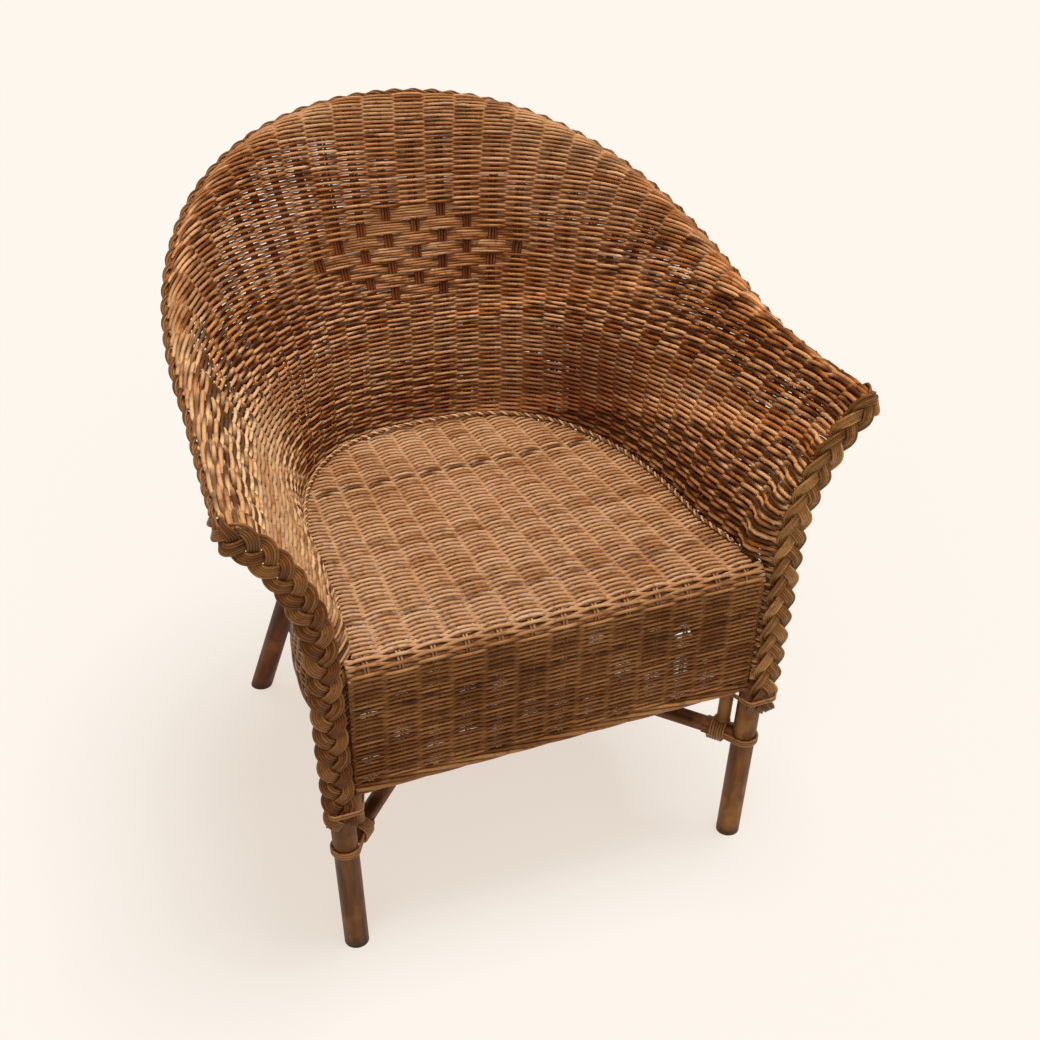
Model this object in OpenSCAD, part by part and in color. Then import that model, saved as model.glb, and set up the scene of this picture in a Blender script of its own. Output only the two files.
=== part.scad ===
// Wicker armchair. A frame of round rattan poles carries one woven wall that runs
// from arm to arm, a woven seat with an apron, and plaited edges.
// The front is -Y and up is +Z. The chair is the same on both sides of X = 0.

/* [Seat] */
// Height of the seat surface above the floor
seat_h = 400; // [370:5:430]
// Half the width of the seat where its sides turn into the back curve
seat_half_w = 210; // [200:1:225]
// How far the back curve reaches behind that place
seat_back_reach = 321; // [290:1:350]
// Distance from the front feet back to that place
seat_corner_y = 79; // [60:1:100]
// Squareness of the back curve, 2 is an ellipse
seat_bend = 2.6; // [2.2:0.1:3.2]
// Thickness of the woven seat and apron
panel_t = 8; // [6:0.5:10]
// Half the width of the seat's front fold
fold_half_w = 231; // [225:0.5:231.5]
// Distance between two ridges of the seat along its front edge
ridge_pitch = 35; // [32:0.5:38]
// Distance between two ridges of the seat at its back
ridge_back_pitch = 30.2; // [30:0.1:35]
// Depth of the grooves between the ridges of the seat and apron
groove_depth = 2; // [1:0.25:3]
// Diameter of the cord that covers the joint between seat and wall
edge_cord_d = 5; // [3:0.5:8]

/* [Woven wall] */
// Thickness of the weave over its stakes
wall_t = 9; // [7:0.5:11]
// Thickness of the weave half way between two stakes
wall_thin_t = 5; // [4:0.5:7]
// Spaces between the stakes on each half of the wall
stake_spaces = 20; // [18:1:24]
// Height of the lowest edge of the woven skirt above the floor
skirt_low_h = 228; // [200:2:260]
// How far the skirt stands out at its lowest edge
skirt_flare = 16; // [0:1:24]
// Diameter of the rolled border along the skirt and the apron
border_d = 12; // [8:1:16]
// Where the wall meets the front post at seat height, from the middle
wall_front_x = 227.5; // [222:0.1:230]
// Where the wall meets the front post at seat height, behind the front feet
wall_front_y = 7; // [6:0.1:12]

// How far the front edge of an arm bows outwards between seat and rim
arm_bow = 5; // [2:0.5:7]
// How far that edge stays behind the arm tip just below the rim
arm_setback = 13.5; // [12:0.5:15]

/* [Rim] */
// Diameter of the bent hoop inside the rolled top edge
hoop_d = 16; // [12:1:20]
// Half the width across the arms where the hoop turns into the back
rim_half_w = 306; // [290:1:320]
// Half the width across the arm tips
rim_tip_half_w = 322; // [300:1:335]
// Hoop position at the middle of the back, behind the front feet
rim_back_y = 538; // [500:1:560]
// Where the hoop's straight arms turn into the back curve
rim_corner_y = 160; // [130:1:190]
// Front end of the hoop at the arm tips
rim_tip_y = -37; // [-45:1:-30]
// Squareness of the rim's curve, 2 is an ellipse
rim_bend = 2.35; // [2:0.05:2.8]
// Height of the hoop at the middle of the back
rim_back_h = 749; // [700:1:800]
// Height of the hoop at the arms
arm_h = 575; // [550:1:610]
// Length of rim, from the middle, over which it falls to the arms
rim_fall = 680; // [600:5:740]
// Width of the plait below the rolled edge
rim_braid_w = 12; // [8:0.5:14]
// Thickness of the plait below the rolled edge
rim_braid_t = 10; // [6:0.5:12]

/* [Legs and posts] */
// Diameter of a leg
leg_d = 27; // [22:0.5:32]
// Half the distance between the front feet
front_foot_x = 232; // [220:1:245]
// How far a front leg leans outwards over its height
front_lean_x = 18; // [10:1:24]
// How far a front leg leans forwards over its height
front_lean_y = 20; // [10:1:26]
// Height of the top end of a front leg
front_leg_h = 428; // [405:1:430]
// Half the distance between the rear feet
rear_foot_x = 213; // [200:1:230]
// Distance of the rear feet behind the front feet
rear_foot_y = 486; // [460:1:510]
// Half the distance between the tops of the rear legs
rear_top_x = 107.5; // [100:0.5:115]
// How far the tops of the rear legs are behind the front feet
rear_top_y = 403; // [402:0.5:410]
// Height of the top end of a rear leg
rear_leg_h = 398; // [380:1:400]
// Diameter of the front arm posts
front_post_d = 16; // [12:0.5:16]
// Height of the lower end of a front arm post
front_post_low = 165; // [162:1:200]
// Diameter of the rear posts
rear_post_d = 16; // [12:0.5:16]
// Height of the lower end of a rear post
rear_post_low = 82; // [60:1:110]
// Position of a rear post along the wall, 0 is the middle and 1 the arm front
rear_post_at = 0.142; // [0.12:0.002:0.146]

/* [Seat frame] */
// Diameter of the front rail
rail_d = 20; // [16:1:24]
// Diameter of the bent side and back rail
side_rail_d = 19; // [15:1:22]
// Diameter of a seat batten
batten_d = 14; // [10:1:16]
// Distance of the front batten behind the front feet
batten_front_y = 100; // [80:5:130]
// Distance between two battens
batten_step = 95; // [60:5:105]

/* [Stretchers and bindings] */
// Diameter of a stretcher
stretcher_d = 19; // [16:0.5:20]
// Height of the stretchers at the front legs
stretcher_front_h = 146; // [140:1:147]
// Height of the rising stretcher at the rear left leg
stretcher_high_h = 164; // [162:1:175]
// Height of the falling stretcher at the rear right leg
stretcher_low_h = 128; // [115:1:130]
// Diameter of a binding cane
cane_d = 2.6; // [2:0.1:2.6]
// Turns of cane round each stretcher end
wrap_turns = 6; // [3:1:8]
// Space between two turns of cane
turn_gap = 0.5; // [0.45:0.05:1]
// Distance from a leg's middle to the first turn on its stretcher
wrap_start = 21; // [20:0.5:26]
// Turns of cane round the crossing of the stretchers
crossing_turns = 3; // [2:1:5]
// Turns of cane that hold the lower end of an arm plait
tie_turns = 2; // [1:1:4]
// Height of the tie at the lower end of an arm plait
tie_h = 212; // [205:1:216]
// Diameter of a nail
nail_d = 3; // [2:0.2:4]
// Depth that a nail reaches into the pole behind the leg
nail_grip = 24; // [15:1:35]

/* [Arm plaits] */
// Width of the plait on the front edge of an arm
plait_w = 32; // [26:1:32]
// Thickness of that plait
plait_t = 10; // [8:0.5:12]
// Height of the lower end of the plait
plait_low_h = 196; // [190:1:204]
// Length of one lobe of the plait
plait_lobe = 24; // [16:1:36]
// How far the plait's top end stands above the hoop's middle
plait_tip = 14; // [8:1:20]

/* [Hidden] */
$fn = 48;
half_cols = 22;      // steps along each half of the wall
wall_vs = [-1, -0.5, 0, 0.2, 0.4, 0.6, 0.78, 0.9, 1, 1.075, 1.15, 1.225, 1.3];
wall_us = [for (i = [-half_cols:half_cols]) sign(i) * pow(abs(i) / half_cols, 0.96)];
seat_gap = 0.4;      // space between poles and what lies on them
joint_gap = 0.3;     // space between the end of a pole and what it meets
nail_gap = 0.06;     // space round a nail in its hole
leg_r = leg_d / 2;
hoop_r = hoop_d / 2;
cane_r = cane_d / 2;
turn_pitch = cane_d + turn_gap;
roll_r = hoop_r + seat_gap + wall_t / 2;   // middle of the weave rolled over the hoop
roll_in = 150;       // angle at which the wall starts to roll over the hoop
roll_back = 62;      // angle at which the rolled weave ends at the middle of the back
roll_arm = 32;       // angle at which it ends at the arm tips
stake_lean = 0.92;   // how many spaces the middle stakes lean to the right up to the hoop
stake_shift = 0.08;  // how many spaces they are off the middle at the seat
stake_top = 1.09;    // the stakes stop leaning here, on the roll
groove_w = 29;       // width of a groove between two ridges
groove_over = 40;    // how far a groove runs past the fold
loop_rings = 18;     // rings in one turn of cane
cane_sides = 6;
floor_w = 2000;      // width of the floor that cuts the legs
nail_head = 0.5;     // depth of a nail's head below the leg's surface
nail_lead = 4;       // length of a nail hole outside the pole
rise_pull = 0.42;    // share of the wall's height along which it follows its ends' directions
rise_bulge = 4;      // how far the wall swells outwards above the seat
flare_power = 1.6;   // how late the skirt's flare sets in
front_zone = 0.8;    // where the wall starts to follow the arm's front edge
bow_peak = 16;       // makes the highest value of (v(1-v))^2 equal to 1
setback_peak = 12.2; // makes the highest value of v^4(1-v) equal to 1

// Vectors and curves
function unit(v) = v / norm(v);
function mix(a, b, t) = a + (b - a) * t;
function ease(t) = let (c = max(0, min(1, t))) c * c * (3 - 2 * c);
function flip(p, side) = [side * p[0], p[1], p[2]];
function xy(p, z) = [p[0], p[1], z];

// Half of a horseshoe in plan, from the middle of the back to its front end
function half_plan(a, b, corner_y, bend, tip) = concat(
    [for (t = [90:-3:0]) [a * pow(cos(t), 2 / bend), corner_y + b * pow(sin(t), 2 / bend)]],
    [tip]);
function lengths(p) = [for (i = 0, s = 0; i < len(p);
    s = s + (i + 1 < len(p) ? norm(p[i + 1] - p[i]) : 0), i = i + 1) s];
function table(p, s, k) = [for (i = [0:len(p) - 1]) [s[i] / s[len(p) - 1], p[i][k]]];

wall_half = half_plan(seat_half_w + wall_t / 2, seat_back_reach + wall_t / 2,
    seat_corner_y, seat_bend, [wall_front_x, wall_front_y]);
wall_s = lengths(wall_half);
wall_x = table(wall_half, wall_s, 0);
wall_y = table(wall_half, wall_s, 1);
rim_half = half_plan(rim_half_w, rim_back_y - rim_corner_y, rim_corner_y, rim_bend,
    [rim_tip_half_w, rim_tip_y]);
rim_s = lengths(rim_half);
rim_len = rim_s[len(rim_s) - 1];
rim_x = table(rim_half, rim_s, 0);
rim_y = table(rim_half, rim_s, 1);

// Point of the wall at seat height, and of the hoop: u runs from -1 at the left
// arm front, past 0 at the middle of the back, to 1 at the right arm front
function wall_plan(u) = [sign(u) * lookup(abs(u), wall_x), lookup(abs(u), wall_y), seat_h];
function hoop_drop(s) = (1 - cos(180 * min(1, s / rim_fall))) / 2;
function hoop_pt(u) = [sign(u) * lookup(abs(u), rim_x), lookup(abs(u), rim_y),
    mix(rim_back_h, arm_h, hoop_drop(abs(u) * rim_len))];
// Direction along a plan curve, and straight out of it
function run_of(a, b) = unit([b[0] - a[0], b[1] - a[1], 0]);
function hoop_dir(u) = unit(hoop_pt(min(1, u + 0.02)) - hoop_pt(max(-1, u - 0.02)));
function wall_run(u) = run_of(wall_plan(max(-1, u - 0.02)), wall_plan(min(1, u + 0.02)));
function hoop_run(u) = run_of(hoop_pt(max(-1, u - 0.02)), hoop_pt(min(1, u + 0.02)));
function out_of(run) = [-run[1], run[0], 0];

// Poles of the frame: the axis of a leg at a height
function front_leg(z) = [front_foot_x + front_lean_x * z / front_leg_h,
    -front_lean_y * z / front_leg_h, z];
function rear_leg(z) = [mix(rear_foot_x, rear_top_x, z / rear_leg_h),
    mix(rear_foot_y, rear_top_y, z / rear_leg_h), z];

// Middle of the weave: v is -1 at the skirt's lowest edge, 0 at the seat, 1 where
// the weave meets the hoop, and up to 1.3 where it has rolled over the hoop
skirt_drop = seat_h - skirt_low_h - border_d;
front_shift = front_leg(skirt_low_h + border_d) - front_leg(seat_h);
function skirt_pt(u, v) = let (near_front = ease((abs(u) - 0.72) / 0.28))
    wall_plan(u) + [0, 0, v * skirt_drop]
    + out_of(wall_run(u)) * skirt_flare * pow(-v, flare_power) * (1 - near_front)
    + flip([front_shift[0], front_shift[1], 0], u < 0 ? -1 : 1) * near_front * -v;
function roll_pt(u, angle, r) = let (out = out_of(hoop_run(u)))
    hoop_pt(u) + out * r * cos(angle) + cross(hoop_dir(u), out) * r * sin(angle);
function roll_end(u) = mix(roll_back, roll_arm, ease(abs(u)));
function rise_pt(u, v) = let (a = wall_plan(u), d = roll_pt(u, roll_in, roll_r),
    out = out_of(hoop_run(u)), lean = out * sin(roll_in) - cross(hoop_dir(u), out) * cos(roll_in),
    b = a + [0, 0, rise_pull * (d[2] - a[2])] + out_of(wall_run(u)) * rise_bulge,
    c = d - lean * rise_pull * norm(d - a))
    a * pow(1 - v, 3) + b * 3 * v * pow(1 - v, 2) + c * 3 * v * v * (1 - v) + d * pow(v, 3)
    + [sign(u) * arm_bow * bow_peak * pow(v * (1 - v), 2),
        arm_setback * setback_peak * pow(v, 4) * (1 - v), 0]
    * ease((abs(u) - front_zone) / (1 - front_zone));
function weave_pt(u, v) = v < 0 ? skirt_pt(u, v)
    : v <= 1 ? rise_pt(u, v)
    : roll_pt(u, mix(roll_in, roll_end(u), (v - 1) / 0.3), roll_r);
function weave_out(u, v) = let (e = 0.01,
    up = weave_pt(u, min(1.3, v + e)) - weave_pt(u, max(-1, v - e)),
    along = weave_pt(min(1, u + e), v) - weave_pt(max(-1, u - e), v))
    unit(cross(up, along));
function weave_face(u, v, off) = weave_pt(u, v) + weave_out(u, v) * off;

// A tube or flat band swept along points: ref is a direction that is never along the path
function sweep_dir(p, i) = unit(p[min(i + 1, len(p) - 1)] - p[max(i - 1, 0)]);
function sweep_ring(c, dir, ref, w, t, sides) = let (a = unit(cross(ref, dir)), b = cross(dir, a))
    [for (k = [0:sides - 1]) let (g = 360 * k / sides) c + a * w * cos(g) + b * t * sin(g)];
function sweep_faces(rings, sides) = concat(
    [for (i = [0:rings - 2], k = [0:sides - 1]) let (n = (k + 1) % sides)
        [i * sides + k, (i + 1) * sides + k, (i + 1) * sides + n]],
    [for (i = [0:rings - 2], k = [0:sides - 1]) let (n = (k + 1) % sides)
        [i * sides + k, (i + 1) * sides + n, i * sides + n]],
    [for (k = [1:sides - 2]) [0, k, k + 1]],
    [for (k = [1:sides - 2]) let (e = (rings - 1) * sides) [e, e + k + 1, e + k]]);
function sweep_points(p, ref, w, t, sides) = [for (i = [0:len(p) - 1], q =
    sweep_ring(p[i], sweep_dir(p, i), ref, is_list(w) ? w[i] : w, t, sides)) q];
module sweep(p, ref, w, t, sides) {
    polyhedron(sweep_points(p, ref, w, t, sides), sweep_faces(len(p), sides), convexity = 8);
}

// A straight round pole between two points, turned about its own axis
module pole(a, b, d, turn = 0) {
    v = b - a;
    translate(a)
        rotate([0, acos(v[2] / norm(v)), atan2(v[1], v[0])])
            rotate([0, 0, turn])
                cylinder(d = d, h = norm(v));
}

// The whole chair is moved so that its footprint's middle is the origin
module placed() {
    translate([0, -middle_y, 0]) children();
}
module sided(side) {
    if (side < 0) mirror([1, 0, 0]) children();
    else children();
}

// Nails through a leg into the end of a pole: from the leg's far face inwards
function nail_line(at, towards) = let (d = unit(towards - at))
    [at - d * (leg_r - nail_head), at + d * (leg_r + nail_grip)];
stretcher_ends = [for (side = [1, -1]) let (
    front = flip(front_leg(stretcher_front_h), side),
    rear = flip(rear_leg(side > 0 ? stretcher_high_h : stretcher_low_h), -side)) [front, rear]];
rail_h = seat_h - panel_t - seat_gap - rail_d / 2;
rail_y = front_leg(rail_h)[1];
rail_reach = front_leg(rail_h - rail_d / 2)[0] - leg_r - joint_gap;
nail_lines = concat(
    [for (e = stretcher_ends) nail_line(e[0], e[1])],
    [for (e = stretcher_ends) nail_line(e[1], e[0])],
    [for (side = [1, -1]) nail_line(flip(front_leg(rail_h), side), [0, rail_y, rail_h])]);
module nail_holes() {
    for (n = nail_lines)
        pole(n[0] - unit(n[1] - n[0]) * nail_lead, n[1] + unit(n[1] - n[0]), nail_d + 2 * nail_gap);
}
module frame_nails() placed() color("dimgray") {
    for (n = nail_lines) pole(n[0], n[1], nail_d);
}

// Legs: straight poles cut flat on the floor
leg_foot = 40;       // length that is cut off below the floor
leg_turn = 90;       // turn of a leg, so that no nail comes out on its pole's seam
module leg_pole(low, high, d) {
    difference() {
        pole(low - unit(high - low) * leg_foot, high, d, leg_turn);
        translate([0, 0, -2 * leg_foot]) linear_extrude(2 * leg_foot) square(floor_w, center = true);
        nail_holes();
    }
}
module front_leg_pole(side) placed() color("peru") {
    leg_pole(flip(front_leg(0), side), flip(front_leg(front_leg_h), side), leg_d);
}
module rear_leg_pole(side) placed() color("sienna") {
    leg_pole(flip(rear_leg(0), side), flip(rear_leg(rear_leg_h), side), leg_d);
}

// Front arm posts: they lie against the inner side of the legs, carry the front
// edge of the wall and end below the hoop
front_post_r = front_post_d / 2;
front_post_top = 0.78;
function wall_edge_dir(v) = unit(cross(weave_out(1, v),
    weave_pt(1, v + 0.01) - weave_pt(1, max(0, v - 0.01))));
function front_post_pt(v) = weave_pt(1, v) + wall_edge_dir(v) * (front_post_r + 2 * joint_gap);
post_low_pt = front_post_pt(0) + front_leg(front_post_low) - front_leg(seat_h);
front_post_path = concat(
    [post_low_pt, mix(post_low_pt, front_post_pt(0), 0.5)],
    [for (v = wall_vs) if (v >= 0 && v <= front_post_top) front_post_pt(v)]);
module front_post(side) placed() color("peru") sided(side) {
    sweep(front_post_path, [1, 0.2, 0], front_post_r, front_post_r, 10);
}

// Rear posts: they run up beside the rear legs and then behind the wall to the rim
rear_post_r = rear_post_d / 2;
rear_post_side = leg_r + cane_d + rear_post_r + 2.4;
rear_post_turn = 8.5;  // angle round the leg, from straight inwards to the back
rear_post_top = 0.93;
rear_post_leave = 40;  // depth below the seat at which the post leaves the leg
function rear_lap(z) = rear_leg(z) + [-cos(rear_post_turn), sin(rear_post_turn), 0] * rear_post_side;
rear_post_path = concat(
    [for (t = [0:3]) rear_lap(mix(rear_post_low, seat_h - rear_post_leave, t / 3))],
    [for (v = [0.08:0.075:rear_post_top]) weave_face(rear_post_at, v,
        wall_t / 2 + 2 * joint_gap + rear_post_r)]);
module rear_post(side) placed() color("sienna") sided(side) {
    sweep(rear_post_path, [1, 0.1, 0], rear_post_r, rear_post_r, 10);
}

// Seat frame: a front rail between the legs, one bent rail round the sides and back
module seat_front_rail() placed() color("peru") {
    difference() {
        pole([-rail_reach, rail_y, rail_h], [rail_reach, rail_y, rail_h], rail_d);
        for (side = [1, -1])
            pole(flip(post_low_pt, side), flip(2 * front_post_pt(0) - post_low_pt, side),
                front_post_d + 2 * joint_gap);
        nail_holes();
    }
}
side_rail_r = side_rail_d / 2;
side_rail_off = wall_t / 2 + seat_gap + 0.8 + side_rail_r;
side_rail_h = seat_h - panel_t - seat_gap - side_rail_r;
rail_back_y = rail_y + rail_d / 2 + joint_gap;
function side_rail_pt(u) = xy(wall_plan(u) - out_of(wall_run(u)) * side_rail_off, side_rail_h);
side_rail_bend = [for (i = [-16:16]) side_rail_pt(0.94 * i / 16)];
rail_lead = side_rail_bend[len(side_rail_bend) - 1];
rail_tip = [rail_lead[0], rail_back_y, side_rail_h];
side_rail_path = concat([flip(rail_tip, -1)], side_rail_bend, [rail_tip]);
module seat_side_rail() placed() color("peru") {
    sweep(side_rail_path, [0, 0, 1], side_rail_r, side_rail_r, 8);
}

// Battens across the seat frame, under the woven seat
batten_h = seat_h - panel_t - seat_gap - batten_d / 2;
batten_ends = [for (i = [0:16]) let (u = 0.94 * i / 16)
    wall_plan(u) - out_of(wall_run(u)) * (side_rail_off + side_rail_r + 2 * joint_gap)];
function batten_reach(y) = lookup(-y, [for (p = batten_ends) [-p[1], p[0]]]);
module seat_battens() placed() color("burlywood") {
    for (i = [0:2]) {
        y = batten_front_y + i * batten_step;
        reach = batten_reach(y + batten_d / 2);
        pole([-reach, y, batten_h], [reach, y, batten_h], batten_d);
    }
}

// Stretchers: two poles from corner to corner, one above the other where they cross
socket_low = 40;     // heights between which the legs are cut out of the stretchers
socket_high = 260;
module stretcher(ends) {
    difference() {
        pole(ends[0], ends[1], stretcher_d);
        for (side = [1, -1]) {
            pole(flip(front_leg(socket_low), side), flip(front_leg(socket_high), side), leg_d + 2 * joint_gap);
            pole(flip(rear_leg(socket_low), side), flip(rear_leg(socket_high), side), leg_d + 2 * joint_gap);
        }
        nail_holes();
    }
}
module rising_stretcher() placed() color("saddlebrown") stretcher(stretcher_ends[0]);
module falling_stretcher() placed() color("saddlebrown") stretcher(stretcher_ends[1]);

// Straps: three canes bent round a leg, whose ends lie along both sides of a stretcher
strap_side = stretcher_d / 2 + cane_r + 0.2;
strap_bend_x = 20;
wrap_len = wrap_turns * turn_pitch;
strap_end = wrap_start + wrap_len + 8;
function strap_path(ring_r) = concat(
    [[strap_end, strap_side, 0], [strap_bend_x, strap_side, 0]],
    [for (g = [90:18:270]) [ring_r * cos(g), ring_r * sin(g), 0]],
    [[strap_bend_x, -strap_side, 0], [strap_end, -strap_side, 0]]);
// The frame of a stretcher end: X along the stretcher, away from the leg
module at_end(at, towards) {
    v = towards - at;
    translate(at)
        rotate([0, 0, atan2(v[1], v[0])])
            rotate([0, -asin(v[2] / norm(v)), 0])
                children();
}
module strap(at, towards, axis, gap) placed() color("chocolate") {
    for (i = [-1:1])
        translate(axis * i * turn_pitch)
            at_end(at, towards)
                sweep(strap_path(leg_r + gap + cane_r), [0, 0, 1], cane_r, cane_r, cane_sides);
}
front_axis = unit(front_leg(seat_h) - front_leg(0));
rear_axis = unit(rear_leg(seat_h) - rear_leg(0));
front_strap_gap = 0.6;
rear_strap_gap = 1.2;
module front_strap(side) strap(flip(front_leg(stretcher_front_h), side),
    stretcher_ends[side > 0 ? 0 : 1][1], flip(front_axis, side), front_strap_gap);
module rear_strap(side) strap(stretcher_ends[side < 0 ? 0 : 1][1],
    stretcher_ends[side < 0 ? 0 : 1][0], flip(rear_axis, side), rear_strap_gap);

// Wraps: one cane wound round a stretcher and the strap ends beside it
wrap_a = strap_side + cane_d + 0.9;
wrap_b = stretcher_d / 2 + 0.5 + cane_r;
wrap_square = 0.8;   // 1 winds in an ellipse, less winds in a squarer loop
function square_cos(g, n) = sign(cos(g)) * pow(abs(cos(g)), n);
function square_sin(g, n) = sign(sin(g)) * pow(abs(sin(g)), n);
wrap_path = [for (i = [0:wrap_turns * loop_rings]) let (g = 360 * i / loop_rings)
    [wrap_start + turn_pitch * i / loop_rings, wrap_a * square_cos(g, wrap_square),
        wrap_b * square_sin(g, wrap_square)]];
module wrap(at, towards) placed() color("chocolate") {
    at_end(at, towards) sweep(wrap_path, [1, 0, 0], cane_r, cane_r, cane_sides);
}
module front_wrap(side) wrap(stretcher_ends[side > 0 ? 0 : 1][0], stretcher_ends[side > 0 ? 0 : 1][1]);
module rear_wrap(side) wrap(stretcher_ends[side < 0 ? 0 : 1][1], stretcher_ends[side < 0 ? 0 : 1][0]);

// Lashing: a cane wound up and down round both stretchers where they cross
function on_pole(e, t) = mix(e[0], e[1], t);
function at_middle(e) = on_pole(e, e[0][0] / (e[0][0] - e[1][0]));
cross_up = at_middle(stretcher_ends[0]);
cross_low = at_middle(stretcher_ends[1]);
cross_mid = mix(cross_up, cross_low, 0.5);
cross_half = 41.3;   // half the angle at which the stretchers cross
lash_room = 10;      // space beside the stretchers inside a turn
lash_z = abs(cross_up[2] - cross_low[2]) / 2 + stretcher_d / 2 + 1 + cane_r;
lash_y = stretcher_d / 2 / sin(cross_half) + lash_room + cane_r;
lash_square = 0.6;
lash_path = [for (i = [0:crossing_turns * loop_rings]) let (g = 360 * i / loop_rings)
    cross_mid + [turn_pitch * (i / loop_rings - crossing_turns / 2),
        lash_y * square_cos(g, lash_square), lash_z * square_sin(g, lash_square)]];
module crossing_lashing() placed() color("chocolate") {
    sweep(lash_path, [1, 0, 0], cane_r, cane_r, cane_sides);
}

// Hoop: one pole bent round the whole top edge
hoop_over = 1.5;     // length of the hoop past the end of the weave
hoop_tip = hoop_pt(1) + hoop_dir(1) * hoop_over;
hoop_path = concat([flip(hoop_tip, -1)], [for (u = wall_us) hoop_pt(u)], [hoop_tip]);
module rim_hoop() placed() color("peru") {
    sweep(hoop_path, [0, 0, 1], hoop_r, hoop_r, 8);
}

// Wall: one skin of cane woven over stakes, from the skirt up and over the hoop.
// It is thickest on each stake and thinnest half way to the next one.
stake_ks = [for (i = [-2 * stake_spaces:2 * stake_spaces]) i / 2];
wall_rows = len(wall_vs);
wall_cols = len(stake_ks);
function stake_u(k, v) = (k + (stake_shift + stake_lean * max(0, min(v, stake_top)))
    * (1 - pow(k / stake_spaces, 2))) / stake_spaces;
function half_t(k) = (k == floor(k) ? wall_t : wall_thin_t) / 2;
function wall_skin(side) = [for (k = stake_ks, v = wall_vs) weave_face(stake_u(k, v), v, side * half_t(k))];
function quad(a, b, c, d) = [[a, b, c], [a, c, d]];
wall_count = wall_rows * wall_cols;
wall_faces = concat(
    [for (i = [0:wall_cols - 2], j = [0:wall_rows - 2]) let (a = i * wall_rows + j, b = a + wall_rows)
        each quad(a, a + 1, b + 1, b)],
    [for (i = [0:wall_cols - 2], j = [0:wall_rows - 2]) let (a = wall_count + i * wall_rows + j,
        b = a + wall_rows) each quad(a, b, b + 1, a + 1)],
    [for (i = [0:wall_cols - 2]) let (a = i * wall_rows, b = a + wall_rows, n = wall_count)
        each quad(a, b, b + n, a + n)],
    [for (i = [0:wall_cols - 2]) let (a = (i + 1) * wall_rows - 1, b = a + wall_rows, n = wall_count)
        each quad(a, a + n, b + n, b)],
    [for (j = [0:wall_rows - 2]) let (n = wall_count) each quad(j, j + n, j + 1 + n, j + 1)],
    [for (j = [0:wall_rows - 2]) let (a = (wall_cols - 1) * wall_rows + j, n = wall_count)
        each quad(a, a + 1, a + 1 + n, a + n)]);
module woven_wall() placed() color("burlywood") {
    polyhedron(concat(wall_skin(1), wall_skin(-1)), wall_faces, convexity = 10);
}

// Seat: a flat woven slab whose front folds down over the rail
panel_gap = 0.4;
function seat_edge(u) = let (p = wall_plan(u) - out_of(wall_run(u)) * (wall_t / 2 + panel_gap))
    [p[0], p[1]];
fold_r = rail_d / 2 + seat_gap;
post_inner_x = front_post_pt(0)[0] - front_post_r - 1.6;
fold_ear = 3;        // how far the fold's full width reaches back
post_notch = 8;      // how far back the seat is cut out beside the posts
edge_us = 0.98;      // the seat's edges end this far along the wall
seat_outline = concat(
    [[-fold_half_w, rail_y], [-fold_half_w, rail_y + fold_ear], [-post_inner_x, rail_y + post_notch]],
    [for (u = wall_us) if (abs(u) < edge_us) seat_edge(u)],
    [[post_inner_x, rail_y + post_notch], [fold_half_w, rail_y + fold_ear], [fold_half_w, rail_y]]);
apron_top_y = rail_y;
apron_low_y = -7;
apron_low_h = skirt_low_h + border_d;
apron_lean = atan2(apron_low_y - apron_top_y, rail_h - apron_low_h);
fold_box = 40;
module fold_profile(angle) {
    intersection() {
        difference() {
            circle(r = fold_r + panel_t);
            circle(r = fold_r);
        }
        polygon([[0, 0], [0, fold_box], [-fold_box, fold_box], [-fold_box, 0],
            [-fold_box * cos(angle), -fold_box * sin(angle)]]);
    }
}
apron_half_low = front_leg(apron_low_h)[0] - leg_r - 0.6;
apron_len = (rail_h - apron_low_h) / cos(apron_lean);
seat_len = seat_corner_y + seat_back_reach - rail_y;
groove_ks = [-6.5:1:6.5];
// A groove cut into a face at z = 0, from y = 0 to y = length
module groove(length) {
    rotate([-90, 0, 0]) linear_extrude(length)
        polygon([[-groove_w / 2, 0], [0, groove_depth], [groove_w / 2, 0],
            [groove_w / 2, -groove_depth], [-groove_w / 2, -groove_depth]]);
}
module seat_grooves() {
    for (k = groove_ks)
        translate([k * ridge_pitch, rail_y, seat_h])
            rotate([0, 0, atan2(k * (ridge_pitch - ridge_back_pitch), seat_len)])
                translate([0, -groove_over, 0]) groove(seat_len + 2 * groove_over);
}
module on_apron() {
    translate([0, rail_y, rail_h]) rotate([90 + apron_lean, 0, 0]) children();
}
module apron_grooves() {
    on_apron()
        for (k = groove_ks)
            translate([k * ridge_pitch, -apron_len - groove_over, fold_r + panel_t])
                groove(apron_len + 2 * groove_over);
}
module seat_panel() placed() color("tan") {
    difference() {
        union() {
            translate([0, 0, seat_h - panel_t]) linear_extrude(panel_t) polygon(seat_outline);
            translate([-fold_half_w, rail_y, rail_h])
                rotate([90, 0, 90]) linear_extrude(2 * fold_half_w) fold_profile(apron_lean);
        }
        seat_grooves();
        apron_grooves();
    }
}

// Apron: the weave hangs from the fold and slopes back between the legs
module front_apron() placed() color("tan") {
    difference() {
        on_apron()
            translate([0, 0, fold_r])
                linear_extrude(panel_t)
                    polygon([[-fold_half_w, -joint_gap], [fold_half_w, -joint_gap],
                        [apron_half_low, -apron_len], [-apron_half_low, -apron_len]]);
        apron_grooves();
    }
}

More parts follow.
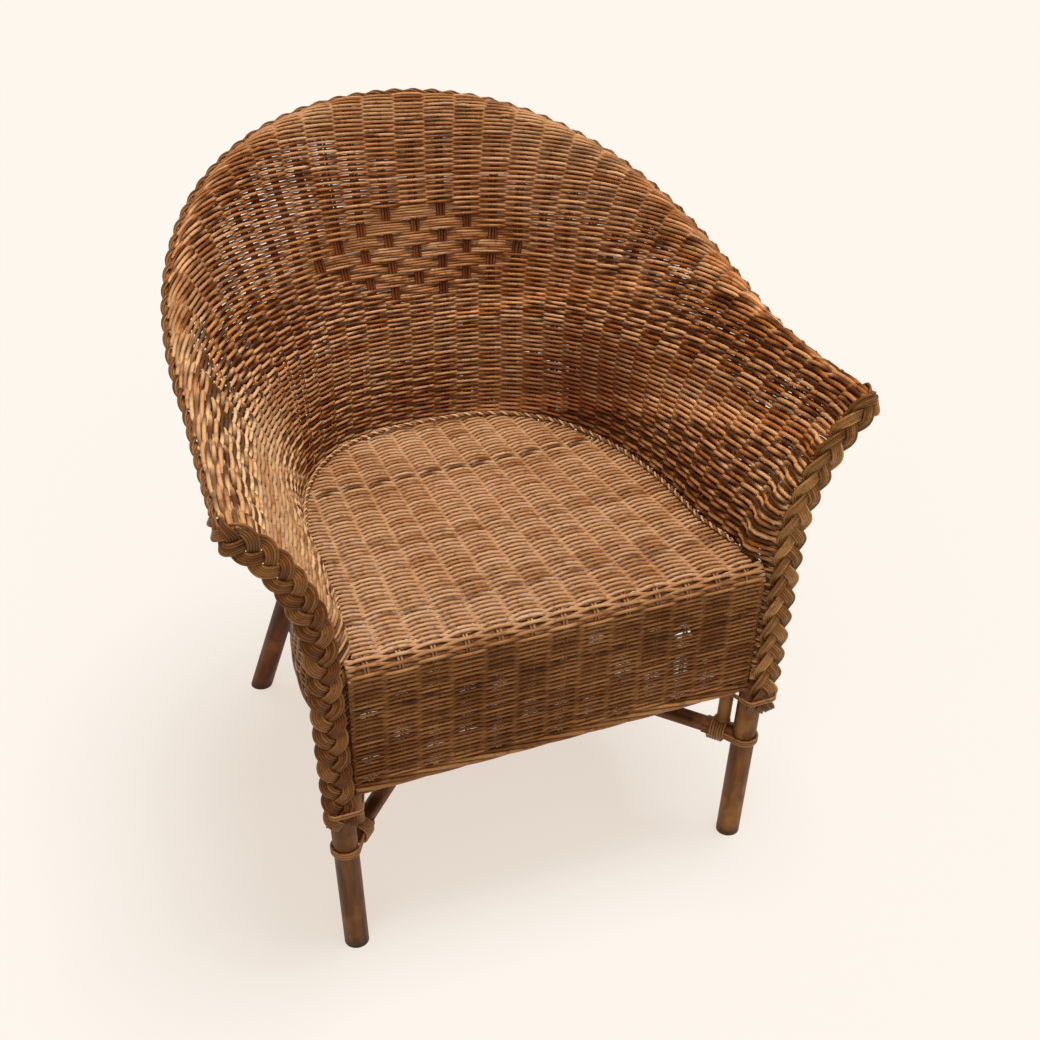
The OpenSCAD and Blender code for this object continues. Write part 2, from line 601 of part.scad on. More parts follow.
// Borders: the stakes' ends rolled into a rope along the lower edges
apron_edge = [0, rail_y, rail_h]
    + [0, -cos(apron_lean), -sin(apron_lean)] * (fold_r + panel_t / 2)
    + [0, sin(apron_lean), -cos(apron_lean)] * (apron_len + border_d / 2 + joint_gap);
module apron_border() placed() color("chocolate") {
    pole(apron_edge - [apron_half_low, 0, 0], apron_edge + [apron_half_low, 0, 0], border_d);
}
border_path = [for (u = wall_us) if (abs(u) < edge_us) weave_pt(u, -1) - [0, 0, border_d / 2 + joint_gap]];
module skirt_border() placed() color("chocolate") {
    sweep(border_path, [0, 0, 1], border_d / 2, border_d / 2, 8);
}
braid_turn = 24;       // angle between the end of the rolled weave and the plait's middle
flat_six = cos(30);    // a six-sided section's flats are this share of its corners
braid_stand = 3;       // how far the plait stands out past the middle of the weave
braid_path = [for (u = wall_us) roll_pt(u, roll_end(u) - braid_turn, roll_r + braid_stand)];
module rim_braid() placed() color("chocolate") {
    sweep(braid_path, [0, 0, 1], rim_braid_t / 2, rim_braid_w / 2 / flat_six, 6);
}

// Cord that covers the joint between the seat and the wall
cord_r = edge_cord_d / 2;
cord_path = [for (u = wall_us) if (abs(u) < edge_us) let (p = seat_edge(u), n = out_of(wall_run(u)))
    [p[0], p[1], seat_h + cord_r + 0.2] - n * (cord_r + 0.3)];
module seat_edge_cord() placed() color("chocolate") {
    sweep(cord_path, [0, 0, 1], cord_r, cord_r, 6);
}

// Arm plaits: flat plaits over the front edge, from the leg up to the arm tip
plait_front = leg_r + seat_gap + plait_t / 2;
function plait_on_leg(z) = front_leg(z) + [0, -plait_front, 0];
plait_out = 5;         // how far the plait's top end is outside the hoop's end
plait_follow = 40;     // length over which the plait still follows the leg
plait_lean = [-44, -1, -30];   // where the plait comes from below its top end
plait_neck = 0.07;     // share of its width that a plait loses between two lobes
plait_end = hoop_tip + [plait_out, -plait_t / 2 - 3 * seat_gap, plait_tip];
function plait_bow(t) = let (a = plait_on_leg(front_leg_h), d = plait_end,
    b = a + unit(front_leg(1) - front_leg(0)) * plait_follow, c = d + plait_lean)
    a * pow(1 - t, 3) + b * 3 * t * pow(1 - t, 2) + c * 3 * t * t * (1 - t) + d * pow(t, 3);
plait_step = 8;
plait_leg_steps = ceil((front_leg_h - plait_low_h) / plait_step);
plait_arm_steps = 28;
plait_path = concat(
    [for (i = [0:plait_leg_steps - 1]) plait_on_leg(mix(plait_low_h, front_leg_h, i / plait_leg_steps))],
    [for (i = [0:plait_arm_steps]) plait_bow(i / plait_arm_steps)]);
plait_s = lengths(plait_path);
plait_widths = [for (s = plait_s) plait_w / 2 * (1 - plait_neck * (1 - cos(360 * s / plait_lobe)))];
module arm_plait(side) placed() color("chocolate") sided(side) {
    sweep(plait_path, [0, 1, 0], plait_widths, plait_t / 2 / flat_six, 6);
}

// Ties: cane wound round a leg, its post and the lower end of the plait
tie_gap = 0.8 + cane_r;
plait_end_r = plait_t / 2;
tie_posts = let (leg = front_leg(tie_h)) [[0, 0, leg_r],
    [front_post_pt(0)[0] - front_leg(seat_h)[0], front_post_pt(0)[1] - front_leg(seat_h)[1], front_post_r],
    [plait_w / 2 - plait_end_r, -plait_front, plait_end_r],
    [plait_end_r - plait_w / 2, -plait_front, plait_end_r]];
function hull_pt(g) = let (reach = [for (c = tie_posts) c[0] * cos(g) + c[1] * sin(g) + c[2]],
    best = search(max(reach), reach)[0], c = tie_posts[best])
    [c[0] + (c[2] + tie_gap) * cos(g), c[1] + (c[2] + tie_gap) * sin(g)];
tie_path = [for (i = [0:tie_turns * loop_rings]) let (g = 360 * i / loop_rings,
    z = tie_h + turn_pitch * i / loop_rings, p = hull_pt(g))
    front_leg(z) + [p[0], p[1], 0]];
module plait_tie(side) placed() color("chocolate") sided(side) {
    sweep(tie_path, [0, 0, 1], cane_r, cane_r, cane_sides);
}

// The middle of the footprint, from the outermost points of the plait and the rim
y_front = min([for (q = sweep_points(plait_path, [0, 1, 0], plait_widths, plait_t / 2 / flat_six, 6)) q[1]]);
y_back = max(concat([for (q = sweep_points(braid_path, [0, 0, 1], rim_braid_t / 2, rim_braid_w / 2 / flat_six, 6)) q[1]],
    [for (v = wall_vs) weave_face(0, v, wall_t / 2)[1]]));
middle_y = (y_front + y_back) / 2;

// Least gap between neighbouring turns of every wound cane
function turn_gaps(p) = min([for (i = [0:len(p) - loop_rings - 1], k = [-3:3])
    if (i + loop_rings + k < len(p)) norm(p[i] - p[i + loop_rings + k])]) - cane_d;
echo(least_gap_of_wrap = turn_gaps(wrap_path), of_lashing = turn_gaps(lash_path), of_tie = turn_gaps(tie_path));

front_leg_pole(-1);  // front_left_leg
front_leg_pole(1);  // front_right_leg
rear_leg_pole(-1);  // rear_left_leg
rear_leg_pole(1);  // rear_right_leg
front_post(-1);  // front_left_post
front_post(1);  // front_right_post
rear_post(-1);  // rear_left_post
rear_post(1);  // rear_right_post
seat_front_rail();
seat_side_rail();
seat_battens();
rising_stretcher();
falling_stretcher();
crossing_lashing();
front_strap(-1);  // front_left_strap
front_strap(1);  // front_right_strap
rear_strap(-1);  // rear_left_strap
rear_strap(1);  // rear_right_strap
front_wrap(-1);  // front_left_wrap
front_wrap(1);  // front_right_wrap
rear_wrap(-1);  // rear_left_wrap
rear_wrap(1);  // rear_right_wrap
frame_nails();
rim_hoop();
woven_wall();
seat_panel();
seat_edge_cord();
front_apron();
apron_border();
skirt_border();
rim_braid();
arm_plait(-1);  // left_arm_plait
arm_plait(1);  // right_arm_plait
plait_tie(-1);  // left_plait_tie
plait_tie(1);  // right_plait_tie
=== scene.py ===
import bmesh
import bpy
import numpy as np
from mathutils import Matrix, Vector


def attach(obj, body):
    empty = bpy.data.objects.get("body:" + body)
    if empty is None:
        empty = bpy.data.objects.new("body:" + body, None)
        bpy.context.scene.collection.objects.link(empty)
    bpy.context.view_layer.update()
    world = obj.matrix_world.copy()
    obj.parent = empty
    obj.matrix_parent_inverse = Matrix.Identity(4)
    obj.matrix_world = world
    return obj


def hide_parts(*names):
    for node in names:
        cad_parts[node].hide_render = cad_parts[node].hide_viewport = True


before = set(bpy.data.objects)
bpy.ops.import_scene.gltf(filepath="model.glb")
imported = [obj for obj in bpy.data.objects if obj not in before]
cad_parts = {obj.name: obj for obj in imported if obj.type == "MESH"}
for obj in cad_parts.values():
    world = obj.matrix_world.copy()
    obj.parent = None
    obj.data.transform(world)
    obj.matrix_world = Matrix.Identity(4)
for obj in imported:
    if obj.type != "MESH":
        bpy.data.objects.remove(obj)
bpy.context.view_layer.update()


# Legs
# Four straight rattan poles, stained, varnished and worn. The front pair is honey
# brown, the rear pair is a dark red brown. They stand cut flat on the floor.
class Link:
    """A value or colour on its way through a finish. Sums on it add maths nodes."""

    def __init__(self, finish, socket):
        self.finish = finish
        self.socket = socket

    def maths(self, operation, *values, clamp=False):
        settings = {"operation": operation, "use_clamp": clamp}
        return self.finish.node("Math", settings, dict(enumerate(values)))

    def __add__(self, other):
        return self.maths("ADD", self, other)

    def __radd__(self, other):
        return self.maths("ADD", other, self)

    def __sub__(self, other):
        return self.maths("SUBTRACT", self, other)

    def __rsub__(self, other):
        return self.maths("SUBTRACT", other, self)

    def __mul__(self, other):
        return self.maths("MULTIPLY", self, other)

    def held(self, low, high):
        """0 below low, 1 above high, and a straight slope between them."""
        return self.maths("MULTIPLY_ADD", self, 1 / (high - low), -low / (high - low), clamp=True)


class Finish:
    """A material under construction: one glossy shader and the nodes that feed it."""

    def __init__(self, name, constants):
        self.material = bpy.data.materials.new(name)
        self.material.use_nodes = True
        self.tree = self.material.node_tree
        self.tree.nodes.clear()
        output = self.tree.nodes.new("ShaderNodeOutputMaterial")
        self.shader = self.tree.nodes.new("ShaderNodeBsdfPrincipled")
        self.tree.links.new(self.shader.outputs[0], output.inputs[0])
        for name, value in constants.items():
            self.shader.inputs[name].default_value = value

    def node(self, kind, settings=None, values=None, out=0):
        node = self.tree.nodes.new("ShaderNode" + kind)
        for name, value in (settings or {}).items():
            setattr(node, name, value)
        for name, value in (values or {}).items():
            if isinstance(value, Link):
                self.tree.links.new(value.socket, node.inputs[name])
            else:
                node.inputs[name].default_value = value
        return Link(self, node.outputs[out])

    def noise(self, where, scale, detail):
        return self.node("TexNoise", None, {"Vector": where, "Scale": scale, "Detail": detail})

    def stretched(self, where, factors):
        return self.node("VectorMath", {"operation": "MULTIPLY"}, {0: where, 1: factors})

    def distance(self, where, centre):
        settings = {"operation": "DISTANCE"}
        return self.node("VectorMath", settings, {0: where, 1: centre}, out="Value")

    def attribute(self, name):
        return self.node("Attribute", {"attribute_name": name}, out="Fac")

    def height(self, where):
        return self.node("SeparateXYZ", None, {0: where}, out=2)

    def joined(self, x, y):
        return self.node("CombineXYZ", None, {0: x, 1: y})

    def blend(self, share, a, b):
        return self.node("Mix", {"data_type": "RGBA"}, {0: share, 6: a, 7: b}, out=2)

    def wear(self, colour, roughness, height, depth):
        """Connects what varies: the colour, the roughness and the relief."""
        bump = self.node("Bump", None, {"Height": height, "Distance": depth, "Strength": 1.0})
        for name, link in (("Base Color", colour), ("Roughness", roughness), ("Normal", bump)):
            self.tree.links.new(link.socket, self.shader.inputs[name])
        return self.material


def stain(red, green, blue):
    """A colour named by its screen values, as the linear values that a shader takes."""
    srgb = np.array([red, green, blue]) / 255
    linear = np.where(srgb > 0.04045, ((srgb + 0.055) / 1.055) ** 2.4, srgb / 12.92)
    return (*linear.tolist(), 1.0)


RINGS_PER_METRE = 4.3
SOIL_FROM, SOIL_TO = 0.004, 0.016
SOIL = stain(42, 24, 16)
POLE_RELIEF = 0.00035


def pole_finish(name, direction, pale, brown, dark, dirty_foot=False):
    """Varnished rattan whose fibres and growth rings follow the pole."""
    finish = Finish(name, {
        "IOR": 1.4,
        "Specular Tint": (1.0, 0.66, 0.42, 1.0),
        "Coat Roughness": 0.3,
        "Coat Weight": 0.04,
    })
    here = finish.node("TexCoord", out="Object")
    turn = Vector(direction).rotation_difference(Vector((0, 0, 1))).to_euler()
    settings = {"rotation_type": "EULER_XYZ"}
    rotated = finish.node("VectorRotate", settings, {"Vector": here, "Rotation": turn})
    fibre = finish.noise(finish.stretched(rotated, (1, 1, 0.03)), 900.0, 3.0)
    streak = finish.noise(finish.stretched(rotated, (1, 1, 0.12)), 130.0, 3.0)
    cloud = finish.noise(rotated, 24.0, 4.0)
    speck = finish.noise(rotated, 420.0, 2.0).held(0.66, 0.72)
    growth = finish.height(rotated) * RINGS_PER_METRE + cloud * 0.05
    ring = 1 - growth.maths("PINGPONG", growth, 0.5).held(0.0, 0.018)
    colour = finish.blend(streak.held(0.35, 0.68), dark, brown)
    colour = finish.blend(cloud.held(0.5, 0.72) * 0.65, colour, pale)
    colour = finish.blend(ring * 0.45 + speck * 0.4, colour, dark)
    if dirty_foot:
        soil = 1 - finish.height(here).held(SOIL_FROM, SOIL_TO)
        colour = finish.blend(soil * 0.75, colour, SOIL)
    shine = 0.36 + cloud * 0.22 + fibre * 0.10
    relief = fibre * 0.35 + streak * 0.5 + ring * 1.2
    return finish.wear(colour, shine, relief, POLE_RELIEF)


def paint(node_name, material):
    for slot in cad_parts[node_name].material_slots:
        slot.material = material


# Each set of stains runs from the palest to the darkest
HONEY = (stain(190, 128, 66), stain(134, 82, 34), stain(84, 44, 12))
# Painted shade: a darker copy of the honey stain for the front left leg, which gets less light
PAINTED_SHADE_HONEY = (stain(160, 102, 50), stain(112, 66, 26), stain(72, 38, 12))
RUST = (stain(164, 98, 54), stain(116, 58, 26), stain(60, 24, 8))
LEGS = {
    "front_left_leg": ((-0.018, -0.020, 0.428), PAINTED_SHADE_HONEY),
    "front_right_leg": ((0.018, -0.020, 0.428), HONEY),
    "rear_left_leg": ((0.1055, -0.083, 0.398), RUST),
    "rear_right_leg": ((-0.1055, -0.083, 0.398), RUST),
}
for leg_name, (lean, stains) in LEGS.items():
    paint(leg_name, pole_finish(leg_name + "_pole", lean, *stains, dirty_foot=True))


# Seat frame and stretchers
# A front rail and three battens lie across under the seat. Two thinner poles run
# from corner to corner near the floor and cross in the middle. All are nailed.
FADED_RUST = (stain(176, 112, 70), stain(124, 70, 36), stain(66, 30, 12))
POLES = {
    "seat_front_rail": ((1, 0, 0), HONEY),
    "seat_battens": ((1, 0, 0), HONEY),
    "rising_stretcher": ((-0.4016, 0.4539, 0.018), FADED_RUST),
    "falling_stretcher": ((0.4111, 0.4661, -0.018), FADED_RUST),
}
for pole_name, (pole_run, stains) in POLES.items():
    paint(pole_name, pole_finish(pole_name + "_pole", pole_run, *stains))

nail_finish = Finish("nail_steel", {"Metallic": 0.9})
nail_place = nail_finish.node("TexCoord", out="Object")
nail_rust = nail_finish.noise(nail_place, 700.0, 3.0)
nail_colour = nail_finish.blend(nail_rust.held(0.4, 0.65), stain(120, 116, 110), stain(84, 56, 38))
paint("frame_nails", nail_finish.wear(nail_colour, 0.35 + nail_rust * 0.3, nail_rust, 0.0001))


# Posts, hoop and bent rail
# Thinner poles bent to shape: the hoop inside the rolled rim, the rail round the
# seat, and posts lapped to the legs that carry the wall up to the hoop.

# Millimetres, apart from ROLL_FROM in degrees round the hoop and ROLLED as a v
MIDDLE_Y = 252.853
SEAT_H = 400.0
SKIRT_DEEP = 160
SKIRT_FLARE = 16
WALL_T = 9.0
POST_R = 8.0
POST_AHEAD = 8.6
REAR_POST_U, REAR_POST_BESIDE, REAR_POST_BEHIND = 0.142, 26.5, 13.1
HOOP_R = 8.0
HOOP_TOP, HOOP_LOW = 749, 575
RIM_FALL = 680.0
ROLL_R = HOOP_R + 0.4 + WALL_T / 2
ROLL_FROM = 150
ROLLED = 1.3
FRONT_LEG_X, FRONT_LEG_TOP = 232, 428
FRONT_LEAN_X, FRONT_LEAN_Y = 18, 20
REAR_LEG_X, REAR_LEG_Y, REAR_LEG_TOP = 213, 486, 398
REAR_LEAN_X, REAR_LEAN_Y = 105.5, 83


def placed(points):
    """Millimetres from the front feet become metres in the chair's own frame."""
    return (np.asarray(points, float) - [0, MIDDLE_Y, 0]) * 0.001


def unit(vectors):
    return vectors / np.linalg.norm(vectors, axis=-1, keepdims=True)


def ease(t):
    c = np.clip(t, 0, 1)
    return c * c * (3 - 2 * c)


def bezier(a, b, c, d, t):
    return a * (1 - t) ** 3 + b * 3 * t * (1 - t) ** 2 + c * 3 * t * t * (1 - t) + d * t ** 3


def run_along(points):
    """A path's length from its start to each of its points."""
    return np.r_[0, np.cumsum(np.linalg.norm(np.diff(points, axis=0), axis=1))]


def horseshoe(a, b, corner_y, bend, tip):
    """Half of a bent plan, from the middle of the back to its front end."""
    t = np.radians(np.linspace(90, 0, 91))
    curve = np.c_[a * np.cos(t) ** (2 / bend), corner_y + b * np.sin(t) ** (2 / bend)]
    plan = np.vstack([curve, tip])
    return plan, run_along(plan)


seat_plan, seat_run = horseshoe(214.5, 325.5, 79, 2.6, (227.5, 7))
rim_plan, rim_run = horseshoe(306, 378, 160, 2.35, (322, -37))


def on_plan(u, plan, run, z):
    """Places on both halves of a bent plan, at a height."""
    share = np.abs(u) * run[-1]
    x = np.sign(u) * np.interp(share, run, plan[:, 0])
    return np.stack([x, np.interp(share, run, plan[:, 1]), np.broadcast_to(z, x.shape)], -1)


def seat_line(u):
    """The wall's middle at seat height: u runs from -1 at the left arm to 1 at the right."""
    return on_plan(u, seat_plan, seat_run, SEAT_H)


def hoop_line(u):
    """The hoop's middle, high at the back and falling to the arms."""
    drop = (1 - np.cos(np.pi * np.minimum(1, np.abs(u) * rim_run[-1] / RIM_FALL))) / 2
    return on_plan(u, rim_plan, rim_run, HOOP_TOP + (HOOP_LOW - HOOP_TOP) * drop)


def ahead(line, u):
    return line(np.minimum(1, u + 0.02)) - line(np.maximum(-1, u - 0.02))


def outwards(line, u):
    run = unit(ahead(line, u) * [1, 1, 0])
    return np.stack([-run[..., 1], run[..., 0], np.zeros(run.shape[:-1])], -1)


def up_and_out(line, u):
    """Straight out of the chair at a place of a line, and upwards square to the line."""
    out = outwards(line, u)
    return out, np.cross(unit(ahead(line, u)), out)


def front_leg(z):
    """The middle of the right front leg at a height."""
    x = FRONT_LEG_X + FRONT_LEAN_X * z / FRONT_LEG_TOP
    return np.stack([x, -FRONT_LEAN_Y * z / FRONT_LEG_TOP, z], -1)


def rear_leg(z):
    """The middle of the right rear leg at a height."""
    share = z / REAR_LEG_TOP
    return np.stack([REAR_LEG_X - REAR_LEAN_X * share, REAR_LEG_Y - REAR_LEAN_Y * share, z], -1)


def roll_end(u):
    """The angle round the hoop at which the rolled weave ends."""
    return 62 - 30 * ease(np.abs(u))


def wall_at(u, v):
    """Middle of the weave: v is -1 at the skirt's foot, 0 at the seat, 1 where the
    weave meets the hoop and ROLLED where it has rolled over it."""
    u, v = np.broadcast_arrays(np.asarray(u, float), np.asarray(v, float))
    low = seat_line(u)
    seat_out = outwards(seat_line, u)
    # Skirt: it flares at the back and follows the legs in front
    d = np.clip(-v, 0, 1)[..., None]
    near_front = ease((np.abs(u) - 0.72) / 0.28)[..., None]
    shift = (front_leg(SEAT_H - SKIRT_DEEP) - front_leg(SEAT_H)) * [1, 1, 0]
    sideways = shift * np.stack([np.where(u < 0, -1, 1), np.ones(u.shape), np.ones(u.shape)], -1)
    flare = seat_out * SKIRT_FLARE * d ** 1.6 * (1 - near_front)
    skirt = low - [0, 0, SKIRT_DEEP] * d + flare + sideways * near_front * d
    # Roll: a round turn over the hoop
    hoop = hoop_line(u)
    out, rise = up_and_out(hoop_line, u)
    rolled = np.clip((v - 1) / (ROLLED - 1), 0, 1)
    angle = np.radians(ROLL_FROM - (ROLL_FROM - roll_end(u)) * rolled)[..., None]
    roll = hoop + out * ROLL_R * np.cos(angle) + rise * ROLL_R * np.sin(angle)
    # Rise: one smooth curve from the seat to the hoop
    t = np.clip(v, 0, 1)[..., None]
    turn = np.radians(ROLL_FROM)
    top = hoop + out * ROLL_R * np.cos(turn) + rise * ROLL_R * np.sin(turn)
    lean = out * np.sin(turn) - rise * np.cos(turn)
    b = low + (top - low) * [0, 0, 0.42] + seat_out * 4
    c = top - lean * 0.42 * np.linalg.norm(top - low, axis=-1, keepdims=True)
    bow_x = np.sign(u)[..., None] * 80 * (t * (1 - t)) ** 2
    bow = np.concatenate([bow_x, 164.7 * t ** 4 * (1 - t), 0 * t], -1)
    rising = bezier(low, b, c, top, t) + bow * ease((np.abs(u) - 0.8) / 0.2)[..., None]
    v = v[..., None]
    return np.where(v < 0, skirt, np.where(v <= 1, rising, roll))


def wall_up(u, v):
    return wall_at(u, np.minimum(ROLLED, v + 0.01)) - wall_at(u, np.maximum(-1, v - 0.01))


def wall_along(u, v):
    return wall_at(np.minimum(1, u + 0.01), v) - wall_at(np.maximum(-1, u - 0.01), v)


def wall_normal(u, v):
    """Straight out of the wall, away from the sitter."""
    return unit(np.cross(wall_up(u, v), wall_along(u, v)))


def shown(name, data):
    """A new object that stands in the scene."""
    thing = bpy.data.objects.new(name, data)
    bpy.context.scene.collection.objects.link(thing)
    return thing


def bent(name, canes, material, sides=6):
    """Round canes or poles drawn as curves. Each is a tuple of points, radius and tone
    and, for woven canes, the weave's face, on which side of it the cane runs and how
    much painted golden light it takes. Attributes keep these for the finish, with one
    more for painted shade where a cane faces a hollow of the weave or the next cane."""
    curve = bpy.data.curves.new(name, "CURVE")
    curve.dimensions = "3D"
    curve.bevel_depth = 1.0
    curve.bevel_resolution = (sides - 4) // 2
    curve.use_fill_caps = True
    kept = {"run": [], "tone": [], "painted_brick_light": [], "side": [], "centre": [], "face": []}
    for points, radius, tone, *woven in canes:
        points = placed(points)
        count = len(points)
        face, side, painted_brick_light = woven or (np.zeros((count, 3)), 0.0, 0.0)
        spline = curve.splines.new("POLY")
        spline.points.add(count - 1)
        spline.points.foreach_set("co", np.c_[points, np.ones(count)].ravel())
        spline.points.foreach_set("radius", np.broadcast_to(radius, count) * 0.001)
        # The two caps come before the rings of the cane itself
        order = np.r_[count - 1, 0, 0:count]
        run = run_along(points)
        for key, values in (("run", run), ("tone", tone), ("painted_brick_light", painted_brick_light), ("side", side)):
            kept[key].append(np.repeat(np.broadcast_to(values, count)[order], sides))
        for key, vectors in (("centre", points), ("face", face)):
            kept[key].append(np.repeat(vectors[order], sides, axis=0))
    kept = {key: np.concatenate(values) for key, values in kept.items()}
    drawn = shown(name + "_drawn", curve)
    shape = drawn.evaluated_get(bpy.context.evaluated_depsgraph_get())
    mesh = bpy.data.meshes.new_from_object(shape)
    bpy.data.objects.remove(drawn)
    bpy.data.curves.remove(curve)
    around = np.zeros(len(mesh.vertices) * 3)
    mesh.vertices.foreach_get("co", around)
    around = unit(around.reshape(-1, 3) - kept["centre"] + 1e-9)
    facing = np.sum(around * kept["face"], axis=1)
    beside = (1 - np.abs(facing)) * np.linalg.norm(kept["face"], axis=1)
    # Painted shade mask: darker where a cane faces a hollow of the weave, and on its flanks beside the
    # next cane
    hollow = np.clip(1.5 * facing * kept["side"], 0, 1)
    kept["hollow_shade_and_varnish"] = np.clip(hollow + 0.38 * beside, 0, 1)
    for key in ("run", "tone", "painted_brick_light", "hollow_shade_and_varnish"):
        layer = mesh.attributes.new(key, "FLOAT", "POINT")
        layer.data.foreach_set("value", kept[key].astype(np.float32))
    work = bmesh.new()
    work.from_mesh(mesh)
    bmesh.ops.remove_doubles(work, verts=work.verts, dist=1e-6)
    bmesh.ops.recalc_face_normals(work, faces=work.faces)
    work.to_mesh(mesh)
    work.free()
    mesh.shade_smooth()
    mesh.name = name
    mesh.materials.clear()
    mesh.materials.append(material)
    piece = shown(name, mesh)
    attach(piece, "root")
    return piece


def mirrored(points):
    return np.asarray(points) * [-1, 1, 1]


# Painted light: a pool of light painted over the inside of the left arm
LEFT_ARM_LIGHT_AT, LEFT_ARM_LIGHT_FROM, LEFT_ARM_LIGHT_TO = (-0.27, -0.12, 0.53), 0.08, 0.26
# A reddish stain low in the back
SPOT_AT, SPOT_FROM, SPOT_TO = (0.165, 0.035, 0.46), 0.06, 0.13
SPOT_RED = stain(116, 48, 28)
CANE_RELIEF = 0.00015


def cane_finish(name, pale, brown, dark, painted_brick_light=None, painted_light_and_stain=False):
    """Varnished cane: every cane has its own tone, with streaks and stains along it.
    Painted shade darkens it in the hollows of the weave and beside the next cane, with
    some dark varnish gathered there too. With its last flag, painted light lightens it
    over the left arm's inside, and it has a reddish stain low in the back."""
    finish = Finish(name, {
        "IOR": 1.4,
        "Specular Tint": (1.0, 0.6, 0.34, 1.0),
        "Coat Weight": 0.03,
        "Coat Roughness": 0.2,
    })
    run = finish.attribute("run")
    tone = finish.attribute("tone")
    here = finish.node("TexCoord", out="Object")
    along = finish.joined(run * 14.0, tone * 71.0)
    patch = finish.noise(along, 1.0, 3.0)
    fleck = finish.noise(finish.joined(run * 130.0, tone * 53.0), 1.0, 2.0)
    fibre = finish.noise(here, 1500.0, 2.0)
    cloud = finish.noise(here, 9.0, 3.0)
    shade = tone * 0.4 + patch * 0.5 + cloud * 0.5 - 0.17
    # Painted light: lighter over the left arm's inside, as if more light fell there
    if painted_light_and_stain:
        left_arm_light = 1 - finish.distance(here, LEFT_ARM_LIGHT_AT).held(LEFT_ARM_LIGHT_FROM, LEFT_ARM_LIGHT_TO)
        shade = shade + left_arm_light * 0.32
    colour = finish.blend(shade.held(0.0, 0.55), dark, brown)
    colour = finish.blend(shade.held(0.4, 0.95), colour, pale)
    colour = finish.blend((1 - fleck.held(0.33, 0.45)) * 0.45, colour, dark)
    # Painted light: a golden tint on the diamond's bricks
    if painted_brick_light:
        colour = finish.blend(finish.attribute("painted_brick_light") * 0.6, colour, painted_brick_light)
    if painted_light_and_stain:
        spot = finish.distance(here, SPOT_AT) + cloud * 0.05
        colour = finish.blend((1 - spot.held(SPOT_FROM, SPOT_TO)) * 0.55, colour, SPOT_RED)
    # Painted shade in the hollows and between canes, together with some dark varnish gathered there
    hollow_shade_colour = tuple(0.5 * part for part in dark[:3]) + (1.0,)
    colour = finish.blend(finish.attribute("hollow_shade_and_varnish") * 0.93, colour, hollow_shade_colour)
    return finish.wear(colour, 0.4 + patch * 0.18 - 0.06, fibre * 0.5 + fleck * 0.5, CANE_RELIEF)


def post_line():
    """The front arm post: beside the leg, then along the front edge of the wall."""
    v = np.linspace(0, 0.78, 14)
    edge = wall_at(1.0, v)
    up = wall_at(1.0, v + 0.01) - wall_at(1.0, np.maximum(0, v - 0.01))
    top = edge + unit(np.cross(wall_normal(1.0, v), up)) * POST_AHEAD
    foot = top[0] + front_leg(165.0) - front_leg(SEAT_H)
    below = foot + (top[0] - foot) * np.linspace(0, 1, 8)[:-1, None]
    return np.vstack([below, top])


def rear_post_line():
    """The rear post: beside the leg, then up behind the back to the rim."""
    z = np.linspace(82, 360, 10)
    turn = np.radians(8.5)
    beside = rear_leg(z) + np.array([-np.cos(turn), np.sin(turn), 0]) * REAR_POST_BESIDE
    v = np.arange(0.08, 0.93, 0.04)
    behind = wall_at(REAR_POST_U, v) + wall_normal(REAR_POST_U, v) * REAR_POST_BEHIND
    return np.vstack([beside, behind])


BENT_HONEY = cane_finish("bent_honey", *HONEY)
BENT_RUST = cane_finish("bent_rust", *RUST)
POLE_SIDES = 16
BOTH_SIDES = (("left", mirrored), ("right", np.asarray))
for side, turned in BOTH_SIDES:
    post = [(turned(post_line()), POST_R, 0.5)]
    front_post = bent("front_" + side + "_arm_post", post, BENT_HONEY, POLE_SIDES)
    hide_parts("front_" + side + "_post")
    post = [(turned(rear_post_line()), POST_R, 0.45)]
    rear_post = bent("rear_" + side + "_back_post", post, BENT_RUST, POLE_SIDES)
    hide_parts("rear_" + side + "_post")

hoop_u = np.linspace(-1, 1, 121)
hoop_points = hoop_line(hoop_u)
hoop_tip = hoop_points[-1] + unit(ahead(hoop_line, np.array(1.0))) * 1.5
hoop_path = np.vstack([mirrored(hoop_tip), hoop_points, hoop_tip])
hoop = bent("bent_hoop", [(hoop_path, HOOP_R, 0.5)], BENT_HONEY, POLE_SIDES)
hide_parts("rim_hoop")

RAIL_R = 9.5
BENT_RAIL_H = 382.1
RAIL_INSIDE_WALL = 15.2
FRONT_RAIL_Y = -17.83
rail_u = 0.94 * np.linspace(-1, 1, 61)
rail_points = seat_line(rail_u) - outwards(seat_line, rail_u) * RAIL_INSIDE_WALL
rail_points = rail_points * [1, 1, 0] + [0, 0, BENT_RAIL_H]
rail_end = rail_points[-1] * [1, 0, 1] + [0, FRONT_RAIL_Y + 10.3, 0]
rail_path = np.vstack([mirrored(rail_end), rail_points, rail_end])
bent_rail = bent("bent_seat_rail", [(rail_path, RAIL_R, 0.5)], BENT_HONEY, POLE_SIDES)
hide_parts("seat_side_rail")


# Woven wall
# Round cane woven in and out of groups of three stakes, in one skin from the skirt over
# the seat's sides, the arms and the back, where it rolls outwards over the hoop.
chance = np.random.default_rng(11)
SPACES = 20
AMPLITUDE = 3.4
CANE_R = 1.66
grid_u = np.linspace(-1, 1, 161)
grid_v = np.linspace(0, ROLLED, 105)
skin = wall_at(grid_u[:, None], grid_v[None, :])
skin_run = np.array([run_along(column) for column in skin])
share_grid = np.linspace(0, 1, 101)
v_table = np.array([np.interp(share_grid, run / run[-1], grid_v) for run in skin_run])
skin_length = skin_run[:, -1]


